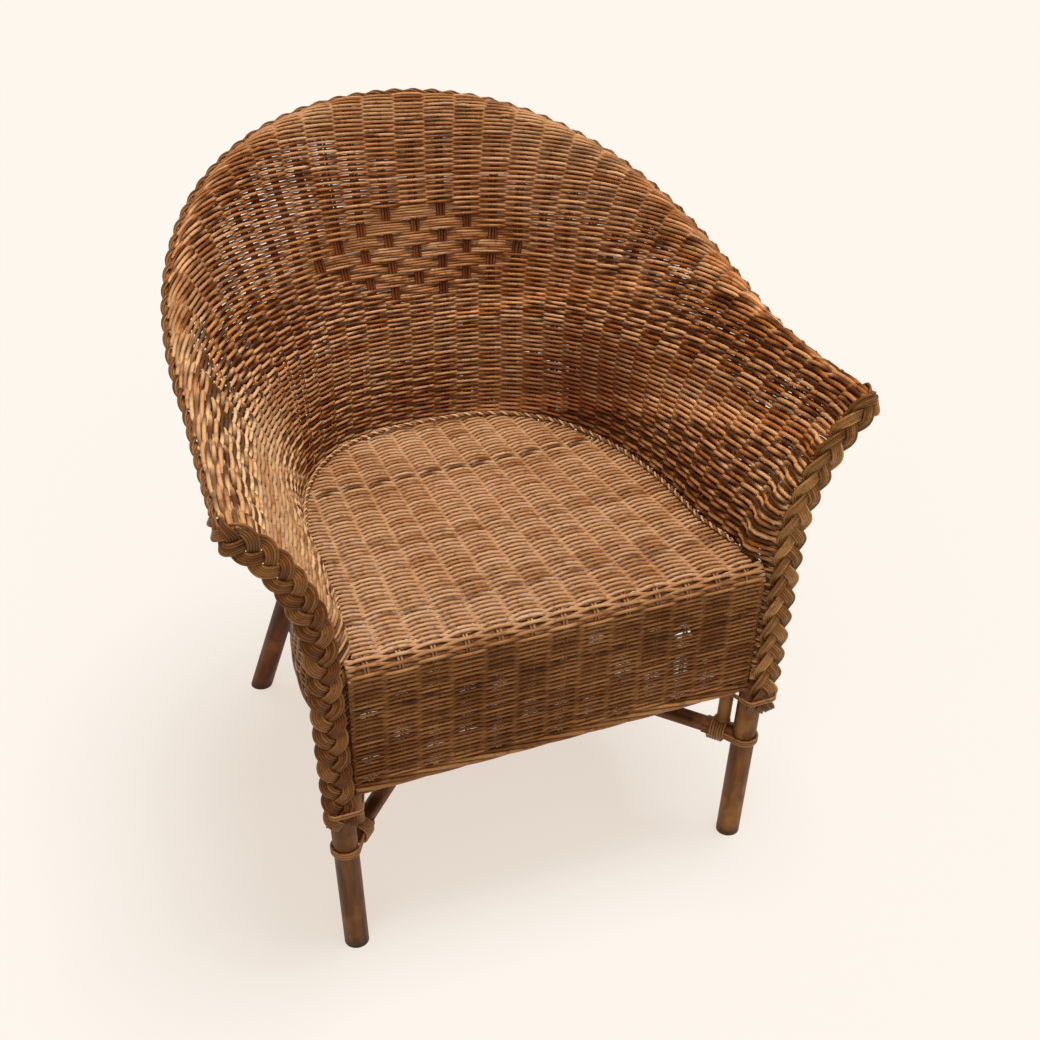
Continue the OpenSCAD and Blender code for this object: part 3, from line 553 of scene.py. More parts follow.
def looked_up(table, i, j):
    """The value between the four nearest entries of a table."""
    i = np.clip(i, 0, table.shape[0] - 1.001)
    j = np.clip(j, 0, table.shape[1] - 1.001)
    i0, j0 = i.astype(int), j.astype(int)
    a, b = i - i0, j - j0
    low = table[i0, j0] * (1 - b) + table[i0, j0 + 1] * b
    high = table[i0 + 1, j0] * (1 - b) + table[i0 + 1, j0 + 1] * b
    return low * (1 - a) + high * a


def v_at(u, share):
    """The wall's v where a share of its length above the seat is below."""
    return looked_up(v_table, (u + 1) * 80, share * 100)


def u_at(k, share):
    """A stake's place along the wall. The stakes lean a little to the right going up,
    and in the back they stand furthest apart at the height of the diamond."""
    even = k / SPACES
    lean = (0.004 + 0.05 * share) * (1 - even ** 2)
    spread = np.interp(share, [0, 0.3, 0.58, 0.8, 1], [0.05, 0.10, 0.24, 0.12, -0.05])
    return even + lean + spread * even * np.exp(-(even / 0.4) ** 2)


def stations_over(spaces):
    """Places along a row, counted in stakes: at each stake and four on to the next."""
    phases = np.array([0, 0.22, 0.41, 0.59, 0.78])
    return np.r_[(np.arange(-spaces, spaces)[:, None] + phases).ravel(), spaces]


def weaving(row_signs, places, crossing=0.44):
    """In and out of the stakes: 1 towards the sitter, -1 away, straight over a stake
    and crossing half way between two."""
    k = np.clip(np.floor(places).astype(int), -SPACES, SPACES - 1)
    t = places - k
    a = row_signs[k + SPACES]
    b = row_signs[k + SPACES + 1]
    share = ease((t - 0.5) / crossing + 0.5)
    return (a * (1 - share) + b * share) * (0.93 + 0.07 * np.cos(2 * np.pi * t))


# Rows run over and under single groups of stakes. In the diamond, bands of five rows
# lie as one over a group and leave the next in sight.
BAND_ROWS, HALF_DIAMOND = 5, 3
DIAMOND_ROWS = BAND_ROWS * (2 * HALF_DIAMOND + 1)
LOW_ROWS, TOP_ROWS = 58, 50
ROWS = LOW_ROWS + DIAMOND_ROWS + TOP_ROWS
stations = stations_over(SPACES)
spots = np.arange(-SPACES, SPACES + 1)
signs = np.where((np.arange(ROWS)[:, None] + spots) % 2 == 0, 1, -1)
# Painted light: in the diamond, the bricks where bands of rows lie in front are tinted golden as if lit
painted_brick_light_rows = np.zeros(signs.shape)
for row in range(LOW_ROWS, LOW_ROWS + DIAMOND_ROWS):
    band = (row - LOW_ROWS) // BAND_ROWS - HALF_DIAMOND
    for k in range(-HALF_DIAMOND - 1, HALF_DIAMOND + 2):
        if abs(k) + abs(band) <= HALF_DIAMOND + 1 and (k + band) % 2 == 0:
            signs[row, k + SPACES] = -1
        elif abs(k) + abs(band) <= HALF_DIAMOND:
            signs[row, k + SPACES] = 1
            painted_brick_light_rows[row, k + SPACES] = 1

# Each row keeps its height above the seat, and the rim slopes down across the rows:
# they crowd together below it, roll over the hoop one by one and end there
CROWD_FROM, CROWD_END = 0.75, 1.07
CROWDING = CROWD_END - CROWD_FROM
ROW_PITCH, ARM_PITCH = 3.05, 1.1
pitches = np.r_[np.full(LOW_ROWS, 0.87), np.full(ROWS - LOW_ROWS, 1.0)]
levels = np.cumsum(pitches) - pitches / 2
station_u = stations / SPACES
length_at = np.interp(station_u, grid_u, skin_length)
pitch_at = ROW_PITCH + ARM_PITCH * np.abs(station_u) ** 1.5
wobble = chance.normal(0, 0.2, (ROWS, 2 * SPACES + 1))
wobble = np.array([np.interp(stations, spots, offsets) for offsets in wobble])
fill = (levels[:, None] * pitch_at + wobble) / length_at
crowded = np.clip((fill - CROWD_FROM) / CROWDING, 0, 1)
row_shares = np.minimum(fill, CROWD_FROM) + CROWDING * (crowded - 0.219 * crowded ** 2)

PLAIT_AHEAD = 18.9


def plait_path():
    """The middle of the right arm's plait: up the leg, then in a bow to the arm's tip.
    Its tail over the tip and down behind it, to where the rope round the rim goes on,
    is added to it further on."""
    z = np.linspace(196, FRONT_LEG_TOP, 60)[:-1]
    before_leg = [3, -PLAIT_AHEAD, 0]
    a = front_leg(FRONT_LEG_TOP) + before_leg
    b = a + unit(front_leg(1.0) - front_leg(0.0)) * 40
    d = hoop_tip + [3, -8.0, 3]
    c = d + [-44, -1, -30]
    bow = bezier(a, b, c, d, np.linspace(0, 1, 80)[:, None])
    return np.vstack([front_leg(z) + before_leg, bow])


plait_line = plait_path()


def resampled(values, run, s):
    """A path's points, or vectors along it, at new lengths along the path."""
    return np.stack([np.interp(s, run, values[:, axis]) for axis in range(3)], -1)


def post_turn(v, sign, side):
    """A row's last points: round the front arm post, from the side where it comes."""
    edge = wall_at(1.0, v)
    normal = wall_normal(1.0, v)
    forward = unit(np.cross(normal, wall_up(1.0, v)))
    post = edge + forward * POST_AHEAD
    towards = -normal * sign
    if v > 0.8:
        turn = np.vstack([
            edge + forward * 3 + towards,
            edge + forward * 6,
            edge + forward * 8 - towards,
        ])
    else:
        plait = resampled(plait_line, plait_line[:, 2], post[2])
        turn = np.vstack([
            edge + forward * 2 + towards * 5.5,
            post + towards * 9.8 - forward * 1,
            post + towards * 8.5 + forward * 6,
            (post + towards * 5 + forward * 12) * 0.6 + (plait + [-14, 8, 0]) * 0.4,
            plait + [-12, 7.5, 0],
            plait + [-4, 7.5, 0],
        ])
    return turn if side > 0 else mirrored(turn)


# How closely the rows are beaten down on each other: by place along the wall, and by
# height from 0.05 in steps of 0.15. Where it is high, no light comes through.
BEATEN_FROM, BEATEN_STEP = 0.05, 0.15
BEATEN_U = [-0.7, -0.5, -0.3, 0, 0.2, 0.4, 0.6, 0.8, 1]
BEATEN = np.array([
    [0.45, 0.45, 0.45, 0.45, 0.45, 0.45, 0.45, 0.35, 0.0],
    [0.45, 0.45, 0.36, 0.20, 0.30, 0.44, 0.44, 0.30, 0.0],
    [0.60, 0.38, 0.14, 0.04, 0.04, 0.10, 0.20, -0.10, 0.0],
    [0.46, 0.32, 0.18, 0.05, -0.04, -0.12, -0.17, -0.20, 0.0],
    [0.44, 0.28, 0.13, 0.02, -0.07, -0.14, -0.17, -0.20, 0.0],
    [0.50, 0.24, 0.05, -0.05, -0.09, -0.05, 0.02, 0.0, 0.0],
    [0.60, 0.30, 0.05, -0.04, -0.04, 0.06, 0.22, 0.10, 0.0],
    [0.60, 0.55, 0.36, 0.24, 0.18, 0.18, 0.20, 0.20, 0.0],
    [0.60, 0.58, 0.50, 0.38, 0.30, 0.33, 0.50, 0.30, 0.0],
])
beaten = np.array([np.interp(spots / SPACES, BEATEN_U, column) for column in BEATEN.T]).T
least = np.where(np.abs(spots[:, None] + 4) > 11, 0.9, 0.5)
beaten = beaten * chance.uniform(least, 1.15, beaten.shape)


def row_line(row, k, share):
    """One row at its places along the wall: its points, the wall's normal there and
    on which side of the wall it runs."""
    u = u_at(k, share)
    v = v_at(u, share)
    normal = wall_normal(u, v)
    up = unit(wall_up(u, v))
    tilt = looked_up(beaten, u * SPACES + SPACES, (v - BEATEN_FROM) / BEATEN_STEP)
    swell = 1 + 0.15 * ease((np.abs(u) - 0.4) / 0.3)
    side = weaving(signs[row], k)
    lift = -AMPLITUDE * swell * side * (1 - 0.55 * ease((v - 0.95) / 0.2))
    return wall_at(u, v) + (normal - up * tilt[:, None]) * lift[:, None], normal, side


def with_ends(ends, values):
    """Values along a row, and zeros where its ends turn round the posts."""
    before, after = (np.zeros((len(end),) + values.shape[1:]) for end in ends)
    return np.concatenate([before, values, after])


ENDS = ((-1, 0), (1, -1))
INNER = SPACES - 0.2
row_tone = np.clip(chance.normal(0.5, 0.2, ROWS), 0, 1)
row_radius = CANE_R * np.clip(chance.normal(1, 0.04, ROWS), 0.9, 1.1)
canes = []
for row in range(ROWS):
    share = row_shares[row]
    stay = (fill[row] < CROWD_END) & (np.abs(stations) <= INNER)
    k, share = stations[stay], share[stay]
    ends = []
    for side, column in ENDS:
        if fill[row, column] < CROWD_END:
            v = min(float(v_at(np.array(1.0), row_shares[row, column])), 1.28)
            ends.append(post_turn(v, signs[row, column], side))
        else:
            half = slice(len(stations) // 2, None, side)
            last = np.interp(CROWD_END, fill[row, half], stations[half])
            k = np.r_[k, last] if side > 0 else np.r_[last, k]
            share = np.r_[share, 1.0] if side > 0 else np.r_[1.0, share]
            ends.append(np.zeros((0, 3)))
    line, face, side_of = row_line(row, k, share)
    points = np.vstack([ends[0][::-1], line, ends[1]])
    painted_brick_light = with_ends(ends, np.interp(k, spots, painted_brick_light_rows[row]))
    thickness = np.interp(k, stations, pitch_at / ROW_PITCH)
    thickness = thickness * (1 + 0.08 * ease((np.abs(k) / SPACES - 0.3) / 0.2))
    radius = row_radius[row] * np.pad(thickness, (len(ends[0]), len(ends[1])), "edge")
    woven = (with_ends(ends, face), with_ends(ends, side_of), painted_brick_light)
    canes.append((points, radius, row_tone[row], *woven))

WALL_STAINS = (stain(252, 204, 152), stain(190, 115, 55), stain(92, 40, 9))
# The golden colour given here is painted light on the diamond's bricks
WALL_CANE = cane_finish("wall_cane", *WALL_STAINS, painted_brick_light=stain(210, 138, 66), painted_light_and_stain=True)
STAKE_CANE = cane_finish("stake_cane", stain(140, 74, 38), stain(98, 46, 20), stain(56, 22, 7))
WALL_PIECES = 3
for i in range(WALL_PIECES):
    some_canes = canes[i * len(canes) // WALL_PIECES:(i + 1) * len(canes) // WALL_PIECES]
    weave = bent("wall_weave_" + str(i + 1), some_canes, WALL_CANE)
    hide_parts("woven_wall")

SKIRT_ROWS = 52
inner = np.abs(stations) <= INNER
inner_u = u_at(stations[inner], 0.0)
canes = []
for row in range(SKIRT_ROWS):
    depth = (row + 0.5) / SKIRT_ROWS
    drift = np.interp(stations, spots, chance.normal(0, 0.25, len(spots)))
    v = -np.clip(depth + drift / SKIRT_DEEP, 0.001, 0.999)[inner]
    row_signs = np.where((row + spots) % 2, 1, -1)
    face = wall_normal(inner_u, v)
    side_of = weaving(row_signs, stations[inner])
    line = wall_at(inner_u, v) - face * AMPLITUDE * side_of[:, None]
    ends = [post_turn(-min(0.985, depth), row_signs[column], side) for side, column in ENDS]
    points = np.vstack([ends[0][::-1], line, ends[1]])
    tone = chance.uniform(0.2, 0.8)
    canes.append((points, CANE_R, tone, with_ends(ends, face), with_ends(ends, side_of), 0))
skirt = bent("skirt_weave", canes, WALL_CANE)
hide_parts("woven_wall")

STAKE_R, STAKE_APART = 1.8, 3.7
stakes = []
for k in range(1 - SPACES, SPACES):
    shares = np.linspace(0.0, 0.995, 40)
    u = u_at(float(k), shares)
    v = v_at(u, shares)
    u = np.r_[np.full(12, u[0]), u[1:]]
    v = np.r_[np.linspace(-1, 0, 12), v[1:]]
    group = wall_at(u, v)
    beside = unit(wall_along(u, v))
    for side in (-1, 0, 1):
        bends = chance.normal(0, 0.3, 7)
        wander = np.interp(np.arange(len(u)), np.linspace(0, len(u), 7), bends)
        points = group + beside * (side * STAKE_APART + wander)[:, None]
        stakes.append((points, STAKE_R, chance.uniform(0.2, 0.8)))
stake_piece = bent("wall_stakes", stakes, STAKE_CANE)
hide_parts("woven_wall")


# Seat
# The same weave in a lighter cane, laid flat over the rails. Its stakes run from
# back to front, bend down over the front rail and go on as the stakes of the apron.
RAIL_H = 381.6
FOLD_R = 14.4
LEAN = np.arctan2(10.83, 141.6)
FOLD_LENGTH = FOLD_R * (np.pi / 2 + LEAN)
SEAT_DEPTH, SEAT_HALF_FRONT, SEAT_INSIDE_WALL = 416.0, 220.0, 4.9
RIDGES = np.arange(-9, 10)
RIDGE_PITCH = 35.0
edge_u = np.linspace(0, 0.985, 200)
edge = seat_line(edge_u) - outwards(seat_line, edge_u) * SEAT_INSIDE_WALL


def seat_half_width(y):
    return np.interp(-y, -edge[:, 1], edge[:, 0], right=225.0)


def ridge_pitch(y):
    """The stakes stand closer together towards the back."""
    return RIDGE_PITCH - np.clip(y + 18, 0, 400) * 0.0135


def cloth(x, s):
    """A place on the seat and apron: s is the length back from the start of the fold,
    and negative over the fold and down the apron. Also its normal."""
    x, s = np.broadcast_arrays(np.asarray(x, float), np.asarray(s, float))
    angle = np.clip(-s / FOLD_R, 0, np.pi / 2 + LEAN)
    normal = np.stack([0 * x, -np.sin(angle), np.cos(angle)], -1)
    round_rail = [x, FRONT_RAIL_Y - FOLD_R * np.sin(angle), RAIL_H + FOLD_R * np.cos(angle)]
    back = np.clip(s, 0, None)[..., None] * [0, 1, 0]
    down = np.clip(-s - FOLD_LENGTH, 0, None)[..., None] * [0, np.sin(LEAN), -np.cos(LEAN)]
    return np.stack(round_rail, -1) + back + down, normal


def panel_row(s, pitch, half, amplitude, parity, tilt=0.0, crossing=0.62, sag=0.0):
    """One row of the seat or apron, from side to side. Where it is tilted, the rows
    have been beaten down closer, and no light comes through. It sags between stakes."""
    ends_at = half / pitch
    k = stations_over(8)
    k = k[np.abs(k) < ends_at - 0.05]
    k = np.r_[-ends_at, k, ends_at]
    floor = np.floor(k)
    t = k - floor
    a = np.where((floor + parity) % 2 == 0, 1, -1)
    share = ease((t - 0.5) / crossing + 0.5)
    side = (a * (1 - share) - a * share) * (0.9 + 0.1 * np.cos(2 * np.pi * t))
    lift = amplitude * side
    drift = np.interp(k, RIDGES, chance.normal(0, 0.25, len(RIDGES)))
    drift = drift - sag * np.sin(np.pi * t) ** 2
    place, normal = cloth(k * pitch, s + drift)
    up = cloth(k * pitch, s + drift + 0.5)[0] - cloth(k * pitch, s + drift - 0.5)[0]
    closed = np.interp(k, RIDGES, np.broadcast_to(tilt, len(RIDGES)))
    return place + (normal + up * closed[:, None]) * lift[:, None], -normal, side


SEAT_CANE = cane_finish("seat_cane", stain(252, 212, 170), stain(210, 150, 96), stain(116, 60, 22))
APRON_CANE = cane_finish("apron_cane", stain(222, 156, 94), stain(150, 88, 38), stain(60, 25, 6))
SEAT_PITCH, SEAT_CANE_R = 3.6, 1.82
canes = []
row = 0
s = 1.0
while s < SEAT_DEPTH:
    y = FRONT_RAIL_Y + s
    half = seat_half_width(y) if y > 7 else SEAT_HALF_FRONT
    if half > 25:
        points, *woven = panel_row(s, ridge_pitch(y), half, 3.1, row)
        radius = SEAT_CANE_R * chance.uniform(0.95, 1.04)
        canes.append((points, radius, chance.uniform(0.2, 0.8), *woven, 0))
    row += 1
    s += SEAT_PITCH
seat_weave = bent("seat_weave", canes, SEAT_CANE)
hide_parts("seat_panel")

FOLD_ROWS, FOLD_PITCH, FOLD_CANE_R = 7, 3.7, 2.05
APRON_HALF = 230.0
canes = []
s = -2.0
for fold_row in range(FOLD_ROWS):
    parity = row + fold_row + 1
    points, *woven = panel_row(s, RIDGE_PITCH, APRON_HALF, 3.4, parity, 0.12 * fold_row)
    # Painted shade: each lower row of the fold is darker, as the fold turns down away from the light
    # above
    tone = 0.7 - 0.13 * fold_row + chance.uniform(-0.1, 0.1)
    canes.append((points, FOLD_CANE_R - 0.05 * fold_row, tone, *woven, 0))
    s -= FOLD_PITCH
fold_weave = bent("fold_weave", canes, SEAT_CANE)
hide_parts("seat_panel")

# The apron lets light through in patches, more between some pairs of stakes
APRON_FROM, APRON_DEEP = 23.7, 140.5
APRON_PITCH, APRON_CANE_R = 2.78, 1.5
canes = []
parity = row + FOLD_ROWS + 1
s += 1.6
patches = chance.uniform(0.35, 2.2, (7, len(RIDGES)))
patches[:, [7, 10, 13]] *= 0.6
while s > -APRON_FROM - APRON_DEEP:
    half = APRON_HALF - 2.0 * (-s - APRON_FROM) / 140
    level = (-s - APRON_FROM) / APRON_DEEP * 6
    closeness = np.array([np.interp(level, np.arange(7), column) for column in patches.T])
    tilt = 0.8 * ease(closeness / 0.6)
    points, *woven = panel_row(s, RIDGE_PITCH, half, 3.5, parity, tilt, 0.9, 0.9)
    radius = APRON_CANE_R * chance.uniform(0.96, 1.04)
    canes.append((points, radius, chance.uniform(0.1, 0.8), *woven, 0))
    parity += 1
    s -= APRON_PITCH
apron_weave = bent("apron_weave", canes, APRON_CANE)
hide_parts("front_apron")

SEAT_STAKE_R, SEAT_STAKE_APART = 1.4, 1.7
stakes = []
for k in range(-6, 7):
    s = np.r_[np.linspace(-163.5, -24, 24), np.linspace(-22, 0, 8), np.linspace(8, 414, 40)]
    y = FRONT_RAIL_Y + np.maximum(0, s)
    x = k * np.where(s > 0, ridge_pitch(y), RIDGE_PITCH)
    inside = (np.abs(x) < seat_half_width(y) - 2) | (s < 30)
    for side in (-1, 1):
        place, normal = cloth(x[inside] + side * SEAT_STAKE_APART, s[inside])
        stakes.append((place, SEAT_STAKE_R, chance.uniform(0.1, 0.5), -normal, -0.6, 0))
seat_stakes = bent("seat_stakes", stakes, SEAT_CANE)
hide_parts("seat_panel")


# Rolled and twisted edges
# The stakes' ends are rolled into ropes along the lower edges, a twisted cord covers
# the joint of seat and wall, and a rope of two thick strands runs round under the rim.
def twisted(points, strands, per_strand, turn, strand_r, bundle_r, cane_r, step):
    """Canes of a rope round a path: each strand winds once in a turn's length."""
    run = run_along(points)
    s = np.linspace(0, run[-1], int(run[-1] / step))
    centre = resampled(points, run, s)
    ahead_of = unit(np.gradient(centre, axis=0))
    a = unit(np.cross([0, 0, 1.0], ahead_of))
    b = np.cross(ahead_of, a)
    lines = []
    for strand in range(strands):
        g = 2 * np.pi * (s / turn + strand / strands)
        strand_line = centre + (a * np.cos(g)[:, None] + b * np.sin(g)[:, None]) * strand_r
        for cane in range(per_strand):
            h = g + 2 * np.pi * cane / per_strand
            cane_line = strand_line + (a * np.cos(h)[:, None] + b * np.sin(h)[:, None]) * bundle_r
            away = unit(cane_line - centre)
            lines.append((cane_line, cane_r, chance.uniform(0.2, 0.9), away, -1.0, 0))
    return lines


BORDER_CANE = cane_finish("border_cane", stain(220, 160, 102), stain(152, 94, 46), stain(70, 32, 9))
# Strands, canes in each, the length of a turn, and radii of rope, strand and cane
BORDER_ROPE = (5, 1, 230, 3.7, 0, 2.25)
EDGE_CORD = (2, 1, 15, 1.25, 0, 1.35)
RIM_ROPE = (2, 4, 46, 2.8, 1.8, 1.4)
APRON_ROPE_HALF = 228
apron_low = cloth(0.0, -APRON_FROM - 141.99 - 6.0)[0]
apron_end = np.array([APRON_ROPE_HALF, 0, 0])
apron_path = np.array([apron_low - apron_end, apron_low, apron_low + apron_end])
apron_rope = bent("apron_rope", twisted(apron_path, *BORDER_ROPE, 4), BORDER_CANE)
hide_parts("apron_border")

skirt_u = np.linspace(-0.975, 0.975, 200)
skirt_path = wall_at(skirt_u, -1.0) - [0, 0, 6.3]
skirt_rope = bent("skirt_rope", twisted(skirt_path, *BORDER_ROPE, 5), BORDER_CANE)
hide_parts("skirt_border")

CORD_INSIDE_WALL, CORD_H = 7.7, 402.7
cord_u = np.linspace(-0.975, 0.975, 300)
cord_path = seat_line(cord_u) - outwards(seat_line, cord_u) * CORD_INSIDE_WALL
cord_path = cord_path * [1, 1, 0] + [0, 0, CORD_H]
edge_cord = bent("seat_edge_twist", twisted(cord_path, *EDGE_CORD, 1.6), SEAT_CANE)
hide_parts("seat_edge_cord")

rim_u = np.linspace(-0.955, 0.955, 300)
rim_angle = np.radians((roll_end(rim_u) - 16)[:, None])
rim_r = ROLL_R + 1.2
rim_out, rim_rise = up_and_out(hoop_line, rim_u)
rim_path = hoop_line(rim_u) + rim_out * rim_r * np.cos(rim_angle)
rim_path = rim_path + rim_rise * rim_r * np.sin(rim_angle)
rim_rope = bent("rim_rope", twisted(rim_path, *RIM_ROPE, 2.4), BORDER_CANE)
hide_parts("rim_braid")


# Arm plaits
# A flat plait of three strands, each of five canes side by side, is laid over the
# front edge of each arm, nailed to the leg, and rolled in at the arm's tip.
STRANDS, STRAND_CANES = 3, 5
STRAND_SWING, CANE_APART, OVER_UNDER = 12.5, 2.8, 2.9


def plaited(points, faces, widths, cycle):
    """Fifteen canes in three flat strands. The faces point out of the plait's front."""
    run = run_along(points)
    s = np.arange(0, run[-1], 1.7)
    centre = resampled(points, run, s)
    width = np.interp(s, run, widths)
    ahead_of = unit(np.gradient(centre, axis=0))
    across = unit(np.cross(resampled(faces, run, s), ahead_of))
    front = np.cross(ahead_of, across)
    spacing = CANE_APART * width
    swing = STRAND_SWING * width
    lines = []
    for strand in range(STRANDS):
        g = 2 * np.pi * (s / cycle + strand / STRANDS)
        x = swing * np.sin(g)
        z = OVER_UNDER * np.sin(2 * g) * width ** 0.5
        slope = swing * np.cos(g) * 2 * np.pi / cycle
        size = np.sqrt(1 + slope ** 2)
        tone = chance.uniform(0.3, 0.7)
        for cane in range(STRAND_CANES):
            shift = (cane - STRAND_CANES // 2) * spacing
            side_step = shift / size
            along_step = -shift * slope / size
            line = centre + across * (x + side_step)[:, None] + ahead_of * along_step[:, None]
            shade = np.clip(tone + chance.normal(0, 0.15), 0, 1)
            lines.append((line + front * z[:, None], 1.55 * width ** 0.4, shade, front, -0.5, 0))
    return lines


PLAIT_CANE = cane_finish("plait_cane", stain(218, 158, 96), stain(148, 92, 42), stain(74, 36, 10))
# Painted shade: a darker copy of the plait cane for the left plait, which gets less light
PAINTED_SHADE_PLAIT = cane_finish("painted_shade_plait_cane", stain(196, 134, 76), stain(128, 74, 32), stain(62, 28, 8))
arm_tip, rope_end = plait_line[-1], rim_path[-1]
rope_run = unit(rim_path[-2] - rope_end)
t = np.linspace(0, 1, 32)[1:, None]
tail = bezier(arm_tip, arm_tip + [12, 0, 7], rope_end - rope_run * 20, rope_end, t)
whole = np.vstack([plait_line, tail])
turned_out = np.r_[np.zeros(len(plait_line)), ease(t[:, 0])][:, None]
faces = unit(np.array([0, -1.0, 0]) * (1 - turned_out) + np.array([0.9, -0.1, 0.45]) * turned_out)
widths = 0.92 * (1 - 0.55 * turned_out[:, 0])
# The left one runs from the leg to the arm's tip, and the right one the other way
PLAITS = {
    "left": (mirrored(whole + [3, 0, 0]), mirrored(faces), widths, 69.0, PAINTED_SHADE_PLAIT),
    "right": (whole[::-1], faces[::-1], widths[::-1], 77.0, PLAIT_CANE),
}
for side, (*laid, plait_cane) in PLAITS.items():
    plait = bent(side + "_plait", plaited(*laid), plait_cane)
    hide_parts(side + "_arm_plait")


# Bindings
# Thin cane holds the frame: three canes round each leg lie along the stretcher's
# end and are wound down, the crossing is lashed, and a tie holds each plait.
BIND_R = 1.3
TURN = 3.1
LEG_R = 13.5
BIND_SIDES = 8
STRETCHER_R = 9.5


def round_pole(at, towards):
    """Directions at a stretcher's end: along it, level to its left, and up."""
    forward = unit(towards - at)
    level = unit(forward * [1, 1, 0])
    left = np.array([-level[1], level[0], 0])
    return forward, left, np.cross(forward, left)


def wound(turns, per_turn, wide, high, squareness):
    """Angles of a winding, and its steps to the side and up from what it holds."""
    g = np.linspace(0, 2 * np.pi * turns, turns * per_turn)
    side = wide * np.sign(np.cos(g)) * np.abs(np.cos(g)) ** squareness
    rise = high * np.sign(np.sin(g)) * np.abs(np.sin(g)) ** squareness
    return g, side, rise


def bound(name, canes):
    return bent(name, canes, BINDING, BIND_SIDES)


def strap_canes(at, towards, axis, gap):
    """Three canes round a leg, whose ends lie along both sides of the stretcher."""
    forward, left, up = round_pole(at, towards)
    ring = LEG_R + gap + BIND_R
    arc = np.radians(np.linspace(90, 270, 25))
    bow = np.c_[ring * np.cos(arc), ring * np.sin(arc)]
    path = np.vstack([[[47.6, 11], [20, 11]], bow, [[20, -11], [47.6, -11]]])
    lines = []
    for i in (-1, 0, 1):
        points = at + axis * i * TURN + path[:, :1] * forward + path[:, 1:] * left
        lines.append((points, BIND_R, chance.uniform(0.3, 0.9)))
    return lines


def wrap_canes(at, towards):
    """One cane wound round the stretcher's end and the ends of the strap."""
    forward, left, up = round_pole(at, towards)
    g, side, rise = wound(6, 40, 14.5, 11.3, 0.8)
    along = 21 + TURN * g / (2 * np.pi)
    points = at + along[:, None] * forward + side[:, None] * left + rise[:, None] * up
    return [(points, BIND_R, 0.6)]


BINDING = cane_finish("binding_cane", stain(186, 132, 84), stain(146, 96, 56), stain(94, 56, 30))
# Where the stretchers meet the legs. Each corner has its own end of a stretcher, the
# other end and the strap's play.
FRONT_RIGHT, REAR_RIGHT = front_leg(146.0), rear_leg(128.0)
FRONT_LEFT, REAR_LEFT = mirrored(front_leg(146.0)), mirrored(rear_leg(164.0))
CORNERS = {
    "front_right": (FRONT_RIGHT, REAR_LEFT, 0.6),
    "front_left": (FRONT_LEFT, REAR_RIGHT, 0.6),
    "rear_left": (REAR_LEFT, FRONT_RIGHT, 1.2),
    "rear_right": (REAR_RIGHT, FRONT_LEFT, 1.2),
}
for corner, (at, towards, gap) in CORNERS.items():
    leg_line = front_leg if corner.startswith("front") else rear_leg
    axis = unit(leg_line(400.0) - leg_line(0.0))
    if corner.endswith("left"):
        axis = mirrored(axis)
    strap = bound(corner + "_strap_canes", strap_canes(at, towards, axis, gap))
    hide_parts(corner + "_strap")
    wrap = bound(corner + "_winding", wrap_canes(at, towards))
    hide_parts(corner + "_wrap")

# The lashing goes three times round the place where one pole lies on the other
stretchers = ((FRONT_RIGHT, REAR_LEFT), (FRONT_LEFT, REAR_RIGHT))
upper, lower = (a + (b - a) * (a[0] / (a[0] - b[0])) for a, b in stretchers)
lash_high = abs(upper[2] - lower[2]) / 2 + STRETCHER_R + 1 + BIND_R
lash_wide = STRETCHER_R / 0.66 + 10 + BIND_R
g, lash_side, lash_rise = wound(3, 48, lash_wide, lash_high, 0.6)
lash_along = TURN * (g / (2 * np.pi) - 1.5)
lash_points = (upper + lower) / 2 + np.stack([lash_along, lash_side, lash_rise], -1)
lashing = bound("lashed_crossing", [(lash_points, BIND_R, 0.6)])
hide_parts("crossing_lashing")

# The tie lies round the leg, the post and both edges of the plait
post_foot = post_line()[7]
post_x, post_y = (post_foot - front_leg(post_foot[2]))[:2]
held_rounds = np.array([
    (0, 0, LEG_R),
    (post_x, post_y, POST_R),
    (11, -PLAIT_AHEAD, 5),
    (-11, -PLAIT_AHEAD, 5),
])
g = np.linspace(0, 2 * np.pi * 2, 2 * 60)
reaches = np.array([x * np.cos(g) + y * np.sin(g) + r for x, y, r in held_rounds])
held_x, held_y, held_r = held_rounds[np.argmax(reaches, axis=0)].T
tie_r = held_r + 0.8 + BIND_R
tie_round = np.stack([held_x + tie_r * np.cos(g), held_y + tie_r * np.sin(g), 0 * g], -1)
tie_points = front_leg(212 + TURN * g / (2 * np.pi)) + tie_round
for side, turned in BOTH_SIDES:
    tie = bound(side + "_plait_binding", [(turned(tie_points), BIND_R, 0.7)])
    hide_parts(side + "_plait_tie")


# Floor, light and camera
# A plain pale floor that keeps the chair's soft shadow, an even sky, a large soft
# lamp from above and a weaker one from the front.
PAPER_LIGHT = np.array(stain(254, 247, 238)[:3])
SHADED = np.array([0.29, 0.345, 0.385])
SKY_LIGHT = 0.2 * np.array([1.0, 0.985, 0.965])
WARM_WHITE = np.array([1.0, 0.975, 0.94])
LAMPS = {
    "key_lamp": (Vector((0.16, -0.04, 1.0)).normalized(), 2.9, 0.5),
    "fill_lamp": (Vector((-0.35, -0.85, 1.0)).normalized(), 1.1, 1.0),
}
LAMP_LIGHT = WARM_WHITE * sum(way.z * power for way, power, spread in LAMPS.values())
FLOOR_LIGHT = SKY_LIGHT + LAMP_LIGHT / np.pi
